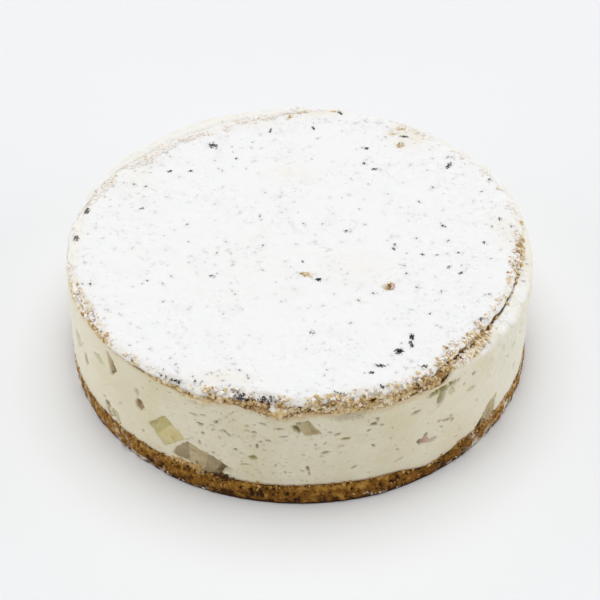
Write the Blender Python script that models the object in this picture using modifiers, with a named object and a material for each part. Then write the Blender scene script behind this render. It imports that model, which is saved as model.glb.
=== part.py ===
# Semifreddo cake: two thin nut biscuits with a thick ricotta cream between them, pears in the
# cream where its side shows them, and a dusting of icing sugar with a few dark flakes on top.
# Units are metres, +Z is up, and the origin is the middle of the underside.
# Angles go round the cake from its front (-Y), and grow towards its right (+X).
import math
import random

import bmesh
import bpy
from mathutils import Vector, noise

MM = 0.001

# Driving dimensions
CAKE_RADIUS = 110.0 * MM
BASE_HEIGHT = 11.3 * MM
BISCUIT_UNDERSIDE = 55.6 * MM
BISCUIT_TOP = 61.3 * MM
SUGAR_THICKNESS = 1.1 * MM
LAYER_GAP = 0.3 * MM
TOP_SLOPE_RIGHT = 0.0188
TOP_SLOPE_BACK = -0.0113
TURN_STEPS = 120
SUGAR_STEPS = 96
# Rings of the faces between two layers, in mm. Both layers use them, so the faces stay parallel.
INNER_RINGS = (50.0, 97.0)
# How far the wall, the layers and the biscuit's outline wander from their plain forms.
WALL_WANDER = 0.35 * MM
LAYER_WANDER = 0.35 * MM
CROWN_WANDER = 0.3 * MM
OUTLINE_WANDER = 0.5 * MM

# How far the edge of the top biscuit stays inside the cake's wall, in mm, by angle.
RIM_SETBACK = (
    (-170, 7.0), (-152, 9.0), (-135, 8.0), (-115, 4.5), (-95, 1.0), (-60, 0.2), (-20, 0.0),
    (20, -0.2), (34, 1.2), (46, 5.0), (60, 7.5), (75, 7.5), (88, 5.5), (105, 4.5), (120, 4.5),
    (135, 6.5), (150, 3.5), (166, 1.6), (180, 4.5),
)
# How much lower the cream beside the biscuit is than the biscuit's top, in mm, by angle.
LIP_DROP = ((-175, 1.6), (-140, 0.8), (-100, 1.2), (0, 3.0), (50, 4.6), (75, 4.0), (110, 2.0), (150, 2.2))
# How far the base biscuit's upper edge departs from BASE_HEIGHT, in mm, by angle.
BASE_RISE = (
    (-180, 0.6), (-140, -0.7), (-100, 0.5), (-75, -0.4), (-50, 0.6), (-30, 0.2), (-12, -0.6),
    (8, 0.5), (24, -0.6), (33, -4.6), (37, -3.6), (44, 0.2), (56, 1.4), (72, 0.8), (96, -0.8), (140, 0.7),
)
# How far the top biscuit's underside departs from BISCUIT_UNDERSIDE, in mm, by angle.
UNDERSIDE_RISE = (
    (-180, 0.4), (-120, -0.5), (-70, 0.9), (-40, 0.5), (-24, -1.6), (-14, 1.0), (-4, -1.5),
    (3, 0.8), (16, -1.2), (30, -0.6), (60, 0.2), (110, -0.6), (150, 0.5),
)

# Pears that show at the side. Each face is a list of corners (angle, height in mm), clockwise
# as seen from outside, and the piece goes that many mm deep into the cream.
PEAR_FACES = (
    (9.5, ((-38.0, 27.0), (-32.8, 36.9), (-27.0, 27.0), (-33.0, 17.7))),
    (9.0, ((-30.0, 16.3), (-26.8, 26.3), (-20.3, 22.1), (-15.0, 16.5), (-17.6, 13.0), (-19.2, 5.4),
           (-24.4, 6.2), (-25.2, 14.6))),
    (5.0, ((-42.0, 35.6), (-41.2, 38.6), (-39.8, 38.6), (-39.0, 35.4), (-39.9, 31.8), (-41.4, 32.2))),
    (6.0, ((-52.0, 53.3), (-49.8, 51.6), (-48.0, 45.8), (-50.6, 39.9), (-51.4, 46.5))),
    (4.0, ((-58.8, 41.8), (-56.0, 45.2), (-53.0, 42.4), (-55.6, 41.2))),
    (7.0, ((-72.5, 35.3), (-69.2, 39.2), (-66.4, 34.8), (-69.2, 28.4))),
    (5.0, ((-65.5, 29.3), (-63.8, 33.6), (-62.6, 29.3), (-64.0, 25.6))),
    (5.0, ((-51.6, 18.4), (-49.4, 18.9), (-47.8, 16.3), (-51.4, 12.6))),
    (6.0, ((-0.9, 50.2), (2.3, 51.8), (5.3, 43.4), (1.6, 42.6))),
    (4.0, ((28.9, 23.3), (31.5, 27.6), (33.2, 21.4))),
    (7.0, ((48.6, 9.4), (49.0, 13.2), (53.0, 20.5), (56.6, 22.6), (55.8, 9.2))),
    (3.5, ((43.2, 41.0), (45.2, 42.6), (46.8, 40.6), (44.2, 39.2))),
)
# The side that faces away goes on in the same way: pears a step apart, of the same sizes.
BACK_PEARS_FROM = 84.0
BACK_PEARS_TO = 274.0
BACK_PEAR_STEP = 17.5
BACK_PEAR_SIZES = (15.0, 7.5, 11.0, 5.5, 17.0, 8.5)
BACK_PEAR_SEED = 11
PEAR_FLOOR = 2.0  # mm, no pear reaches lower

# Dark flakes and toasted crumbs that stand out of the sugar: x, y, length, width, turn in degrees.
FLAKES = (
    (45.0, -78.0, 4.6, 3.2, 10), (50.5, -71.0, 3.6, 2.0, 80), (36.0, -88.0, 4.4, 2.2, -10),
    (32.0, -92.5, 2.6, 2.2, 0), (55.0, -88.5, 3.2, 2.4, 20), (82.0, -57.0, 4.8, 2.6, 25),
    (-43.5, 75.0, 4.6, 5.6, 0), (-102.0, 23.5, 2.8, 5.6, 0), (-105.5, 2.5, 3.2, 5.0, 10),
    (73.0, 57.0, 2.4, 6.6, -25), (36.5, 54.5, 3.6, 2.6, 0), (31.5, 59.5, 2.6, 2.6, 0),
    (3.5, -26.0, 5.4, 4.2, -15), (9.0, -29.0, 4.2, 2.6, -10), (41.5, -34.5, 6.6, 5.4, 30),
    (50.0, 74.0, 4.6, 4.4, 0), (52.0, 81.5, 5.0, 3.0, 0), (55.0, 87.0, 4.0, 3.6, 0),
    (-64.0, 54.0, 3.0, 2.6, 30), (74.5, -25.0, 3.4, 2.2, 50), (69.0, -20.5, 3.0, 2.2, 50),
    (44.0, -7.0, 2.4, 3.0, 0), (68.0, 10.0, 2.2, 3.4, 20), (95.0, 14.5, 2.6, 3.6, -20),
    (-15.0, 87.0, 2.0, 5.4, 0), (33.0, 72.0, 3.0, 2.4, 0),
)
FLAKE_HEIGHT = 1.3 * MM

# Crumbs that stick out of the top biscuit's edge round the front, and their sizes in mm.
RIM_CRUMB_COUNT = 46
RIM_CRUMB_FROM = -98.0
RIM_CRUMB_TO = 100.0
RIM_CRUMB_SIZE = (2.6, 4.2)
RIM_CRUMB_SEED = 5

COLOURS = {
    "base": (0.22, 0.115, 0.045),
    "cream": (0.80, 0.77, 0.66),
    "biscuit": (0.50, 0.32, 0.13),
    "sugar": (0.92, 0.92, 0.91),
    "pear": (0.46, 0.41, 0.22),
}


def clear_scene():
    for item in list(bpy.data.objects):
        bpy.data.objects.remove(item, do_unlink=True)


def new_collection(name):
    collection = bpy.data.collections.new(name)
    bpy.context.scene.collection.children.link(collection)
    return collection


def new_material(name, colour, roughness):
    material = bpy.data.materials.new(name)
    material.use_nodes = True
    shader = material.node_tree.nodes["Principled BSDF"]
    shader.inputs["Base Color"].default_value = (*colour, 1.0)
    shader.inputs["Roughness"].default_value = roughness
    shader.inputs["Metallic"].default_value = 0.0
    return material


def around(table, angle):
    # A value at any angle from a table of (angle, value), eased from one entry to the next.
    angle = (angle + 180.0) % 360.0 - 180.0
    first = (table[0][0] + 360.0, table[0][1])
    last = (table[-1][0] - 360.0, table[-1][1])
    entries = (last, *table, first)
    for (start, low), (end, high) in zip(entries, entries[1:]):
        if start <= angle <= end:
            share = (angle - start) / (end - start)
            return low + (high - low) * share * share * (3.0 - 2.0 * share)
    return table[0][1]


def waver(position, scale, seed):
    # Smooth noise of about -1 to 1, which changes over the given distance.
    return 1.8 * noise.noise(position / scale + Vector((seed * 7.3, seed * 3.1, seed * 5.7)))


def on_cake(angle, radius, height):
    turn = math.radians(angle)
    return Vector((radius * math.sin(turn), -radius * math.cos(turn), height))


def angle_of(position):
    return math.degrees(math.atan2(position.x, -position.y))


def smooth_step(low, high, value):
    share = min(max((value - low) / (high - low), 0.0), 1.0)
    return share * share * (3.0 - 2.0 * share)


def edge_share(radius):
    # 0 in the middle of the cake, where layers are level, and 1 at its wall.
    return smooth_step(0.45 * CAKE_RADIUS, 0.97 * CAKE_RADIUS, radius)


def base_top(x, y):
    flat = Vector((x, y, 0.0))
    rise = around(BASE_RISE, angle_of(flat)) * MM * edge_share(flat.length)
    return BASE_HEIGHT + rise + LAYER_WANDER * waver(flat, 14.0 * MM, 1)


def biscuit_underside(x, y):
    flat = Vector((x, y, 0.0))
    rise = around(UNDERSIDE_RISE, angle_of(flat)) * MM * edge_share(flat.length)
    return BISCUIT_UNDERSIDE + rise


def top_surface(x, y):
    flat = Vector((x, y, 0.0))
    swell = CROWN_WANDER * waver(flat, 60.0 * MM, 2)
    return BISCUIT_TOP + swell + TOP_SLOPE_RIGHT * x + TOP_SLOPE_BACK * y


def wall_radius(angle, height):
    here = on_cake(angle, CAKE_RADIUS, height)
    return CAKE_RADIUS + WALL_WANDER * (waver(here, 38.0 * MM, 3) - 1.0)


def biscuit_radius(angle):
    here = on_cake(angle, CAKE_RADIUS, 0.0)
    setback = around(RIM_SETBACK, angle) * MM
    return CAKE_RADIUS - setback + OUTLINE_WANDER * waver(here, 11.0 * MM, 4)


def turned(name, profile, steps=TURN_STEPS):
    # A solid of revolution. The profile runs from the axis over the top, down and back to it.
    mesh = bpy.data.meshes.new(name)
    points = [(radius, 0.0, height) for radius, height in profile]
    mesh.from_pydata(points, [(i, i + 1) for i in range(len(points) - 1)], [])
    source = bpy.data.objects.new(name + "_profile", mesh)
    bpy.context.scene.collection.objects.link(source)
    screw = source.modifiers.new("Turn", "SCREW")
    screw.steps = steps
    screw.render_steps = steps
    screw.use_merge_vertices = True
    screw.merge_threshold = 0.00005
    solid = apply_modifiers(source, name)
    bpy.data.objects.remove(source, do_unlink=True)
    return solid


def apply_modifiers(source, name):
    # A plain copy of the object as its modifiers leave it.
    bpy.context.view_layer.update()
    graph = bpy.context.evaluated_depsgraph_get()
    mesh = bpy.data.meshes.new_from_object(source.evaluated_get(graph))
    mesh.name = name
    copy = bpy.data.objects.new(name, mesh)
    bpy.context.scene.collection.objects.link(copy)
    return copy


def reshape(solid, rule):
    # Moves each point by a rule that gets its angle, radius and height.
    for vertex in solid.data.vertices:
        here = vertex.co
        radius = math.hypot(here.x, here.y)
        vertex.co = rule(angle_of(here), radius, here.z)
    solid.data.update()


def boolean(solid, operation, other):
    # Joins, cuts or trims the solid with another object or with all objects of a collection.
    modifier = solid.modifiers.new("Fit", "BOOLEAN")
    modifier.operation = operation
    if isinstance(other, bpy.types.Collection):
        modifier.operand_type = "COLLECTION"
        modifier.collection = other
    else:
        modifier.object = other
    bpy.context.view_layer.update()
    graph = bpy.context.evaluated_depsgraph_get()
    mesh = bpy.data.meshes.new_from_object(solid.evaluated_get(graph))
    solid.modifiers.remove(modifier)
    solid.data = mesh


def put_in(collection, solid):
    for holder in list(solid.users_collection):
        holder.objects.unlink(solid)
    collection.objects.link(solid)


def as_cutter(solid, collection):
    # Keeps a shape that only cuts or trims out of the cake itself.
    put_in(collection, solid)
    solid.hide_render = True
    solid.display_type = "WIRE"
    return solid


def remove_all(items):
    for item in list(items):
        bpy.data.objects.remove(item, do_unlink=True)


def finish(solid, name, collection, material):
    # Tidies the mesh, names the object and puts it with its material in the cake's collection.
    shell = bmesh.new()
    shell.from_mesh(solid.data)
    bmesh.ops.remove_doubles(shell, verts=shell.verts, dist=0.00002)
    bmesh.ops.dissolve_degenerate(shell, edges=shell.edges, dist=0.00002)
    bmesh.ops.triangulate(shell, faces=shell.faces)
    shell.to_mesh(solid.data)
    shell.free()
    solid.name = name
    solid.data.name = name
    solid.data.materials.clear()
    solid.data.materials.append(material)
    solid.data.shade_smooth()
    solid.data.set_sharp_from_angle(angle=math.radians(40.0))
    put_in(collection, solid)
    return solid


def base_layer():
    # A thin brown nut biscuit, porous and crumbly at its side, flat underneath.
    top = BASE_HEIGHT / MM
    rings = [(ring, top) for ring in INNER_RINGS]
    side = [(108.8, top), (109.8, 8.6), (109.9, 5.6), (109.6, 2.6), (108.4, 0.0)]
    profile = [(0.0, top), *rings, *side, (0.0, 0.0)]
    solid = turned("base", [(radius * MM, height * MM) for radius, height in profile])

    def rule(angle, radius, height):
        flat = on_cake(angle, radius, 0.0)
        here = on_cake(angle, radius, height)
        at_side = smooth_step(100.0 * MM, 108.0 * MM, radius)
        coarse = 0.45 * waver(here, 9.0 * MM, 6)
        fine = 0.30 * waver(here, 3.6 * MM, 7)
        lifted = height / BASE_HEIGHT * base_top(flat.x, flat.y)
        return on_cake(angle, radius + (coarse + fine - 0.35) * MM * at_side, lifted)

    reshape(solid, rule)
    return solid


def cream_block(name, bottom_mm):
    # The cream before the biscuit and the pears are pressed in. Its wall is the cake's wall.
    top = BISCUIT_TOP / MM
    shoulder = [(105.0, top), (107.9, top - 1.1), (109.5, top - 3.6)]
    wall = [(110.0, height) for height in (52.0, 44.0, 36.0, 28.0, 20.0)]
    foot = [(110.0, bottom_mm), (108.9, bottom_mm)]
    rings = [(ring, bottom_mm) for ring in reversed(INNER_RINGS)]
    profile = [(0.0, top), *shoulder, *wall, *foot, *rings, (0.0, bottom_mm)]
    solid = turned(name, [(radius * MM, height * MM) for radius, height in profile])

    def rule(angle, radius, height):
        flat = on_cake(angle, radius, 0.0)
        drop = around(LIP_DROP, angle) * MM * smooth_step(60.0 * MM, 95.0 * MM, radius)
        crown = top_surface(flat.x, flat.y) - drop
        floor = base_top(flat.x, flat.y) + LAYER_GAP
        if name == "mould":
            floor = bottom_mm * MM
        share = (height - bottom_mm * MM) / (BISCUIT_TOP - bottom_mm * MM)
        lifted = floor + (crown - floor) * share
        inward = CAKE_RADIUS - wall_radius(angle, lifted)
        if radius < 100.0 * MM:
            inward = 0.0
        return on_cake(angle, radius - inward, lifted)

    reshape(solid, rule)
    return solid


def biscuit_disc(name, grow=0.0):
    # The top biscuit, or with grow the room that it takes up in the cream.
    top = BISCUIT_TOP / MM
    low = BISCUIT_UNDERSIDE / MM
    side = [(106.5, top), (109.2, top - 1.3), (110.0, top - 3.0), (109.4, low)]
    foot = [(97.0, low), (50.0, low)]
    profile = [(0.0, top), (50.0, top), (85.0, top), *side, *foot, (0.0, low)]
    solid = turned(name, [(radius * MM, height * MM) for radius, height in profile])

    def rule(angle, radius, height):
        outline = biscuit_radius(angle)
        scaled = radius / CAKE_RADIUS * outline
        flat = on_cake(angle, scaled, 0.0)
        here = on_cake(angle, scaled, height)
        at_side = smooth_step(104.0 * MM, 108.5 * MM, radius)
        crumbs = 0.55 * waver(here, 6.5 * MM, 8) + 0.45 * waver(here, 3.4 * MM, 9)
        share = (height - BISCUIT_UNDERSIDE) / (BISCUIT_TOP - BISCUIT_UNDERSIDE)
        low_here = biscuit_underside(flat.x, flat.y)
        lifted = low_here + (top_surface(flat.x, flat.y) - low_here) * share
        if grow:
            # Where the biscuit reaches the cake's wall nothing of the cream stays above it.
            open_side = 9.0 * MM * smooth_step(-2.6 * MM, -1.2 * MM, outline - CAKE_RADIUS)
            reach = scaled + at_side * (grow + 0.9 * MM + open_side)
            if share > 0.5:
                return on_cake(angle, reach, lifted + 12.0 * MM)
            return on_cake(angle, reach, lifted - grow)
        return on_cake(angle, scaled + (crumbs - 0.3) * MM * at_side, lifted)

    reshape(solid, rule)
    return solid


def sugar_skin():
    # The dusting, a thin sheet that follows the biscuit and the cream beside it.
    under = LAYER_GAP / MM
    thick = under + SUGAR_THICKNESS / MM
    over = [(ring, thick) for ring in (36.0, 66.0, 92.0)]
    edge = [(107.5, thick - 0.15), (110.0, under + 0.4), (109.6, under)]
    below = [(ring, under) for ring in (85.0, 50.0)]
    profile = [(0.0, thick), *over, *edge, *below, (0.0, under)]
    solid = turned("sugar", [(radius * MM, height * MM) for radius, height in profile], SUGAR_STEPS)

    def rule(angle, radius, height):
        here = on_cake(angle, radius, 0.0)
        level = smooth_step(2.6, 1.4, around(LIP_DROP, angle))
        outline = biscuit_radius(angle) - 1.6 * MM
        outline += (CAKE_RADIUS - 3.6 * MM - outline) * level * smooth_step(98.0 * MM, 107.0 * MM, outline)
        outline += 0.5 * MM * waver(here, 8.0 * MM, 10)
        scaled = radius / CAKE_RADIUS * outline
        flat = on_cake(angle, scaled, 0.0)
        drift = 0.0
        if height > 1.0 * MM:
            drift = 0.28 * MM * waver(flat, 9.0 * MM, 12) + 0.18 * MM * waver(flat, 22.0 * MM, 13)
        return on_cake(angle, scaled, top_surface(flat.x, flat.y) + height + drift)

    reshape(solid, rule)
    return solid


def flake(index, x_mm, y_mm, length_mm, width_mm, turn):
    # One dark flake or toasted crumb, a low irregular lump sunk into the sugar.
    shell = bmesh.new()
    bmesh.ops.create_uvsphere(shell, u_segments=6, v_segments=4, radius=0.5)
    centre = Vector((x_mm * MM, y_mm * MM, 0.0))
    sugar_top = top_surface(centre.x, centre.y) + LAYER_GAP + SUGAR_THICKNESS
    angle = math.radians(turn)
    for vertex in shell.verts:
        lump = 1.0 + 0.22 * waver(vertex.co, 0.5, 20 + index)
        across = vertex.co.x * length_mm * MM * lump
        along = vertex.co.y * width_mm * MM * lump
        vertex.co = Vector((
            centre.x + across * math.cos(angle) - along * math.sin(angle),
            centre.y + across * math.sin(angle) + along * math.cos(angle),
            sugar_top + vertex.co.z * FLAKE_HEIGHT * lump,
        ))
    mesh = bpy.data.meshes.new("flake")
    shell.to_mesh(mesh)
    shell.free()
    return bpy.data.objects.new(f"flake_{index:02d}", mesh)


def rim_crumb(index, angle, share, size_mm):
    # One crumb on the biscuit's side, most of it inside the biscuit and clear of the cream.
    size = size_mm * MM
    shell = bmesh.new()
    bmesh.ops.create_icosphere(shell, subdivisions=1, radius=0.5 * size)
    outline = biscuit_radius(angle)
    centre = on_cake(angle, outline - 0.35 * size, 0.0)
    high = top_surface(centre.x, centre.y) - 0.3 * size
    low = biscuit_underside(centre.x, centre.y) + 0.75 * size
    if outline < CAKE_RADIUS - 1.0 * MM:
        low = high
    centre.z = low + (high - low) * share
    for vertex in shell.verts:
        lump = 1.0 + 0.35 * waver(vertex.co, 2.2 * MM, 50 + index)
        vertex.co = centre + vertex.co * lump
    mesh = bpy.data.meshes.new("crumb")
    shell.to_mesh(mesh)
    shell.free()
    return bpy.data.objects.new(f"crumb_{index:02d}", mesh)


def pear_block(name, depth_mm, face, grow_mm=0.0):
    # A block with the given face on the cake's wall, tapering inwards.
    middle_angle = sum(angle for angle, _ in face) / len(face)
    middle_height = sum(height for _, height in face) / len(face)
    mm_per_degree = math.radians(1.0) * CAKE_RADIUS / MM
    shell = bmesh.new()

    def ring(radius, shrink):
        corners = []
        for angle, height in face:
            across = (angle - middle_angle) * mm_per_degree
            up = height - middle_height
            grown = 1.0 + grow_mm / max(math.hypot(across, up), 1.0)
            across *= shrink * grown
            up *= shrink * grown
            corner = on_cake(middle_angle + across / mm_per_degree, radius, (middle_height + up) * MM)
            corners.append(shell.verts.new(corner))
        return corners

    outer = ring(CAKE_RADIUS + 4.0 * MM, 1.0)
    inner = ring(CAKE_RADIUS - (depth_mm + grow_mm) * MM, 0.72)
    shell.faces.new(outer)
    shell.faces.new(list(reversed(inner)))
    for i in range(len(face)):
        j = (i + 1) % len(face)
        shell.faces.new((outer[j], outer[i], inner[i], inner[j]))
    bmesh.ops.recalc_face_normals(shell, faces=shell.faces)
    mesh = bpy.data.meshes.new(name)
    shell.to_mesh(mesh)
    shell.free()
    block = bpy.data.objects.new(name, mesh)
    bpy.context.scene.collection.objects.link(block)
    return block


def back_pears():
    # Faces for the side that faces away, four or five cornered and turned at random.
    draw = random.Random(BACK_PEAR_SEED)
    mm_per_degree = math.radians(1.0) * CAKE_RADIUS / MM
    faces = []
    angle = BACK_PEARS_FROM
    while angle < BACK_PEARS_TO:
        size = BACK_PEAR_SIZES[len(faces) % len(BACK_PEAR_SIZES)]
        middle = angle + draw.uniform(-4.0, 4.0)
        height = draw.uniform(16.0 + 0.5 * size, 52.0 - 0.55 * size)
        corners = draw.choice((4, 4, 5))
        turn = draw.uniform(0.0, 90.0)
        face = []
        for i in range(corners):
            way = math.radians(turn - 360.0 * i / corners)
            reach = 0.5 * size * draw.uniform(0.72, 1.12)
            face.append((middle + reach * math.cos(way) / mm_per_degree, height + reach * math.sin(way)))
        faces.append((0.5 * size + 1.5, tuple(face)))
        angle += BACK_PEAR_STEP
    return faces


def build():
    clear_scene()
    cake = new_collection("semifreddo_cake")
    cutters = new_collection("cutters")
    materials = {
        "base": new_material("baked_nut_biscuit", COLOURS["base"], 0.9),
        "cream": new_material("ricotta_cream", COLOURS["cream"], 0.55),
        "biscuit": new_material("golden_nut_biscuit", COLOURS["biscuit"], 0.85),
        "sugar": new_material("icing_sugar", COLOURS["sugar"], 0.95),
        "pear": new_material("cooked_pear", COLOURS["pear"], 0.35),
    }

    base = base_layer()
    cream = cream_block("cream", BASE_HEIGHT / MM + LAYER_GAP / MM)
    room = as_cutter(biscuit_disc("room", LAYER_GAP), cutters)
    boolean(cream, "DIFFERENCE", room)
    remove_all([room])

    biscuit = biscuit_disc("biscuit")
    draw = random.Random(RIM_CRUMB_SEED)
    crumbs = new_collection("crumbs")
    for index in range(RIM_CRUMB_COUNT):
        share = (index + draw.uniform(0.1, 0.9)) / RIM_CRUMB_COUNT
        angle = RIM_CRUMB_FROM + (RIM_CRUMB_TO - RIM_CRUMB_FROM) * share
        crumbs.objects.link(rim_crumb(index, angle, draw.random(), draw.uniform(*RIM_CRUMB_SIZE)))
    boolean(biscuit, "UNION", crumbs)
    remove_all(crumbs.objects)

    sugar = sugar_skin()
    flakes = new_collection("flakes")
    for index, values in enumerate(FLAKES):
        flakes.objects.link(flake(index, *values))
    boolean(sugar, "UNION", flakes)
    remove_all(flakes.objects)

    mould = as_cutter(cream_block("mould", PEAR_FLOOR), cutters)
    pears = []
    for index, (depth, face) in enumerate((*PEAR_FACES, *back_pears()), start=1):
        name = f"pear_{index:02d}"
        pear = pear_block(name, depth, face)
        boolean(pear, "INTERSECT", mould)
        pears.append(finish(pear, name, cake, materials["pear"]))
        pocket = as_cutter(pear_block("pocket", depth, face, LAYER_GAP / MM), cutters)
        boolean(cream, "DIFFERENCE", pocket)
        if min(height for _, height in face) < BASE_HEIGHT / MM + 2.0:
            boolean(base, "DIFFERENCE", pocket)
        remove_all([pocket])
    remove_all([mould])

    finish(base, "base_layer", cake, materials["base"])
    finish(cream, "cream_layer", cake, materials["cream"])
    finish(biscuit, "top_layer", cake, materials["biscuit"])
    finish(sugar, "sugar_layer", cake, materials["sugar"])
    for helper in (cutters, crumbs, flakes):
        bpy.data.collections.remove(helper)


build()
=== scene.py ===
import itertools
import math
import random

import bmesh
import bpy
import numpy as np
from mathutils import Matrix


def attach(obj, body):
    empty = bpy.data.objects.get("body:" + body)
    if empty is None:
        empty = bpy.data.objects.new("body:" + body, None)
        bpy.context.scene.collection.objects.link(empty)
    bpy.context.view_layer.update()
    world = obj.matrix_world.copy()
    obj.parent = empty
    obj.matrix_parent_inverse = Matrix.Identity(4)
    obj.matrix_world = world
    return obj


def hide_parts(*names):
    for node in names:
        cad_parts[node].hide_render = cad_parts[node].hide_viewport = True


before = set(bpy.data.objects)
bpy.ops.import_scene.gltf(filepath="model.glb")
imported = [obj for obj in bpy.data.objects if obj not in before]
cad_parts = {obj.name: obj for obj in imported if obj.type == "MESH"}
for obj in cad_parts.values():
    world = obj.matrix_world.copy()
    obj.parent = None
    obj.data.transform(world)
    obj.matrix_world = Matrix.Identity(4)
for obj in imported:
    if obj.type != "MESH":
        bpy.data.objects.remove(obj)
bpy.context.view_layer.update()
mm = 0.001

# The whole cake, in mm. Angles go round it from the front (-Y) and grow towards its right (+X).
cake = {
    "radius": 110,
    "baseHeight": 11.3,
    "biscuitUnder": 55.6,
    "biscuitTop": 61.3,
    "slopeRight": 0.0188,
    "slopeBack": -0.0113,
    # how far the top biscuit's edge stays inside the wall, by angle
    "rimSetback": (
        (-170, 7), (-152, 9), (-135, 8), (-115, 4.5), (-95, 1), (-60, 0.2), (-20, 0), (20, -0.2),
        (34, 1.2), (46, 5), (60, 7.5), (75, 7.5), (88, 5.5), (105, 4.5), (120, 4.5), (135, 6.5),
        (150, 3.5), (166, 1.6), (180, 4.5),
    ),
    # how much lower the cream beside the biscuit is than the biscuit's top
    "lipDrop": (
        (-175, -0.4), (-150, -1.2), (-125, -1.2), (-100, 0.2), (-60, 2.4), (0, 3), (50, 4.6), (75, 4),
        (98, 2.2), (112, 0.9), (135, 0.4), (160, 0.2),
    ),
    # how much higher or lower than elsewhere the base's top and the top biscuit's underside are at the wall
    "baseRise": (
        (-180, 0), (-140, -1.2), (-100, -0.6), (-75, -2.2), (-50, -0.9), (-30, -0.6), (-12, -1.3),
        (8, -0.6), (24, -1.4), (33, -4.9), (37, -4), (44, -1.1), (56, -1.2), (72, -2), (96, -1.4),
        (140, 0.2),
    ),
    "underRise": (
        (-180, 0.4), (-120, -0.5), (-70, 0.9), (-52, 1.4), (-40, 0.6), (-30, 0.1), (-27.5, -0.9),
        (-25.8, -2.4), (-22.6, -2), (-19.8, 0.6), (-14.4, 1.9), (-11.5, 0.5), (-8.6, -0.7), (-5.6, -2.2),
        (-3, -2.8), (-0.4, -1.4), (2, 0), (8, -0.9), (14, -1.2), (20, -2), (25, -1.5), (30, -0.9),
        (34.5, -1.8), (38, -1), (43, -2), (50, -0.6), (60, 0.2), (110, -0.6), (150, 0.5),
    ),
}


def easeStep(low, high, value):
    share = np.clip((np.asarray(value, float) - low) / (high - low), 0.0, 1.0)
    return share * share * (3.0 - 2.0 * share)


def around(table, angles):
    # values at any angles from a table of (angle, value), eased from one entry to the next
    turned = (np.asarray(angles, float) + 180.0) % 360.0 - 180.0
    places = np.array([table[-1][0] - 360.0] + [a for a, v in table] + [table[0][0] + 360.0])
    values = np.array([table[-1][1]] + [v for a, v in table] + [table[0][1]])
    spot = np.clip(np.searchsorted(places, turned, side="right") - 1, 0, len(places) - 2)
    share = (turned - places[spot]) / (places[spot + 1] - places[spot])
    share = share * share * (3.0 - 2.0 * share)
    return values[spot] + (values[spot + 1] - values[spot]) * share


def mixBits(cell, seed):
    # one well mixed 32-bit number for each whole-numbered cell
    word = np.uint64(0xFFFFFFFF)
    parts = cell.astype(np.uint64)
    bits = parts[..., 0] * np.uint64(73856093) ^ parts[..., 1] * np.uint64(19349663)
    bits ^= parts[..., 2] * np.uint64(83492791) ^ np.uint64((seed * 2654435761 + 97) % 2**32)
    for _ in range(2):
        bits &= word
        bits ^= bits >> np.uint64(16)
        bits = (bits * np.uint64(0x45D9F3B)) & word
    return bits ^ (bits >> np.uint64(16))


def threeShares(bits):
    ten = np.uint64(1023)
    return np.stack([((bits >> np.uint64(s)) & ten) / 1023.0 for s in (0, 10, 20)], axis=-1)


def cloud(points, size, seed, octaves=1):
    # smooth noise of about -1 to 1; size is one number or one for each axis, in mm
    total = 0.0
    weight = 1.0
    for octave in range(octaves):
        place = points / (np.asarray(size, float) / 2.0**octave) + 31.7 * octave
        cell = np.floor(place)
        part = place - cell
        ease = part**3 * (part * (part * 6.0 - 15.0) + 10.0)
        value = 0.0
        for corner in itertools.product((0, 1), repeat=3):
            step = np.array(corner)
            slope = threeShares(mixBits((cell + step).astype(np.int64), seed + octave)) * 2.0 - 1.0
            near = np.where(step == 1, ease, 1.0 - ease).prod(axis=-1)
            value = value + near * (slope * (part - step)).sum(axis=-1)
        total = total + weight * value * 1.5
        weight *= 0.5
    return total


def pebbles(points, size, seed):
    # distance to the nearest scattered centre in sizes, the gap to the next one, and its own number
    place = points / size
    cell = np.floor(place)
    shape = points.shape[:-1]
    best, second, tag = np.full(shape, 9.0), np.full(shape, 9.0), np.zeros(shape)
    for step in itertools.product((-1, 0, 1), repeat=3):
        there = cell + np.array(step)
        bits = mixBits(there.astype(np.int64), seed)
        reach = ((there + threeShares(bits) - place) ** 2).sum(axis=-1)
        closer = reach < best
        second = np.where(closer, best, np.minimum(second, reach))
        tag = np.where(closer, (bits >> np.uint64(7)) % np.uint64(997) / 997.0, tag)
        best = np.where(closer, reach, best)
    return np.sqrt(best), np.sqrt(second) - np.sqrt(best), tag


def onCake(angles, radius, height):
    turn = np.radians(angles)
    return np.stack(np.broadcast_arrays(radius * np.sin(turn), -radius * np.cos(turn), height), axis=-1)


def edgeShare(radius):
    return easeStep(0.45 * cake["radius"], 0.97 * cake["radius"], radius)


def baseTop(angles, radius):
    return cake["baseHeight"] + around(cake["baseRise"], angles) * edgeShare(radius)


def biscuitUnder(angles, radius):
    return cake["biscuitUnder"] + around(cake["underRise"], angles) * edgeShare(radius)


def topSurface(angles, radius):
    place = onCake(angles, radius, 0.0)
    slope = cake["slopeRight"] * place[..., 0] + cake["slopeBack"] * place[..., 1]
    return cake["biscuitTop"] + slope + 0.2 * cloud(place, 60.0, 2)


def biscuitRadius(angles):
    rim = onCake(angles, cake["radius"], 0.0)
    return cake["radius"] - around(cake["rimSetback"], angles) + 0.5 * cloud(rim, 11.0, 4)


def single(function, *values):
    # one value of a function that takes arrays
    return function(*(np.array([value]) for value in values))[0]


def lipShare(angles):
    # 1 where the cream stands up round the biscuit's edge, 0 where the biscuit reaches the wall
    return easeStep(1.2, 3.2, around(cake["rimSetback"], angles))


def columnAngles():
    # narrow columns round the front and wider ones round the back
    spans = ((-46, 46, 0.235), (46, 80, 0.34), (80, 280, 0.66), (280, 314, 0.34))
    parts = [np.linspace(a, b, round((b - a) / wide), endpoint=False) for a, b, wide in spans]
    return np.concatenate(parts)


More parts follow.
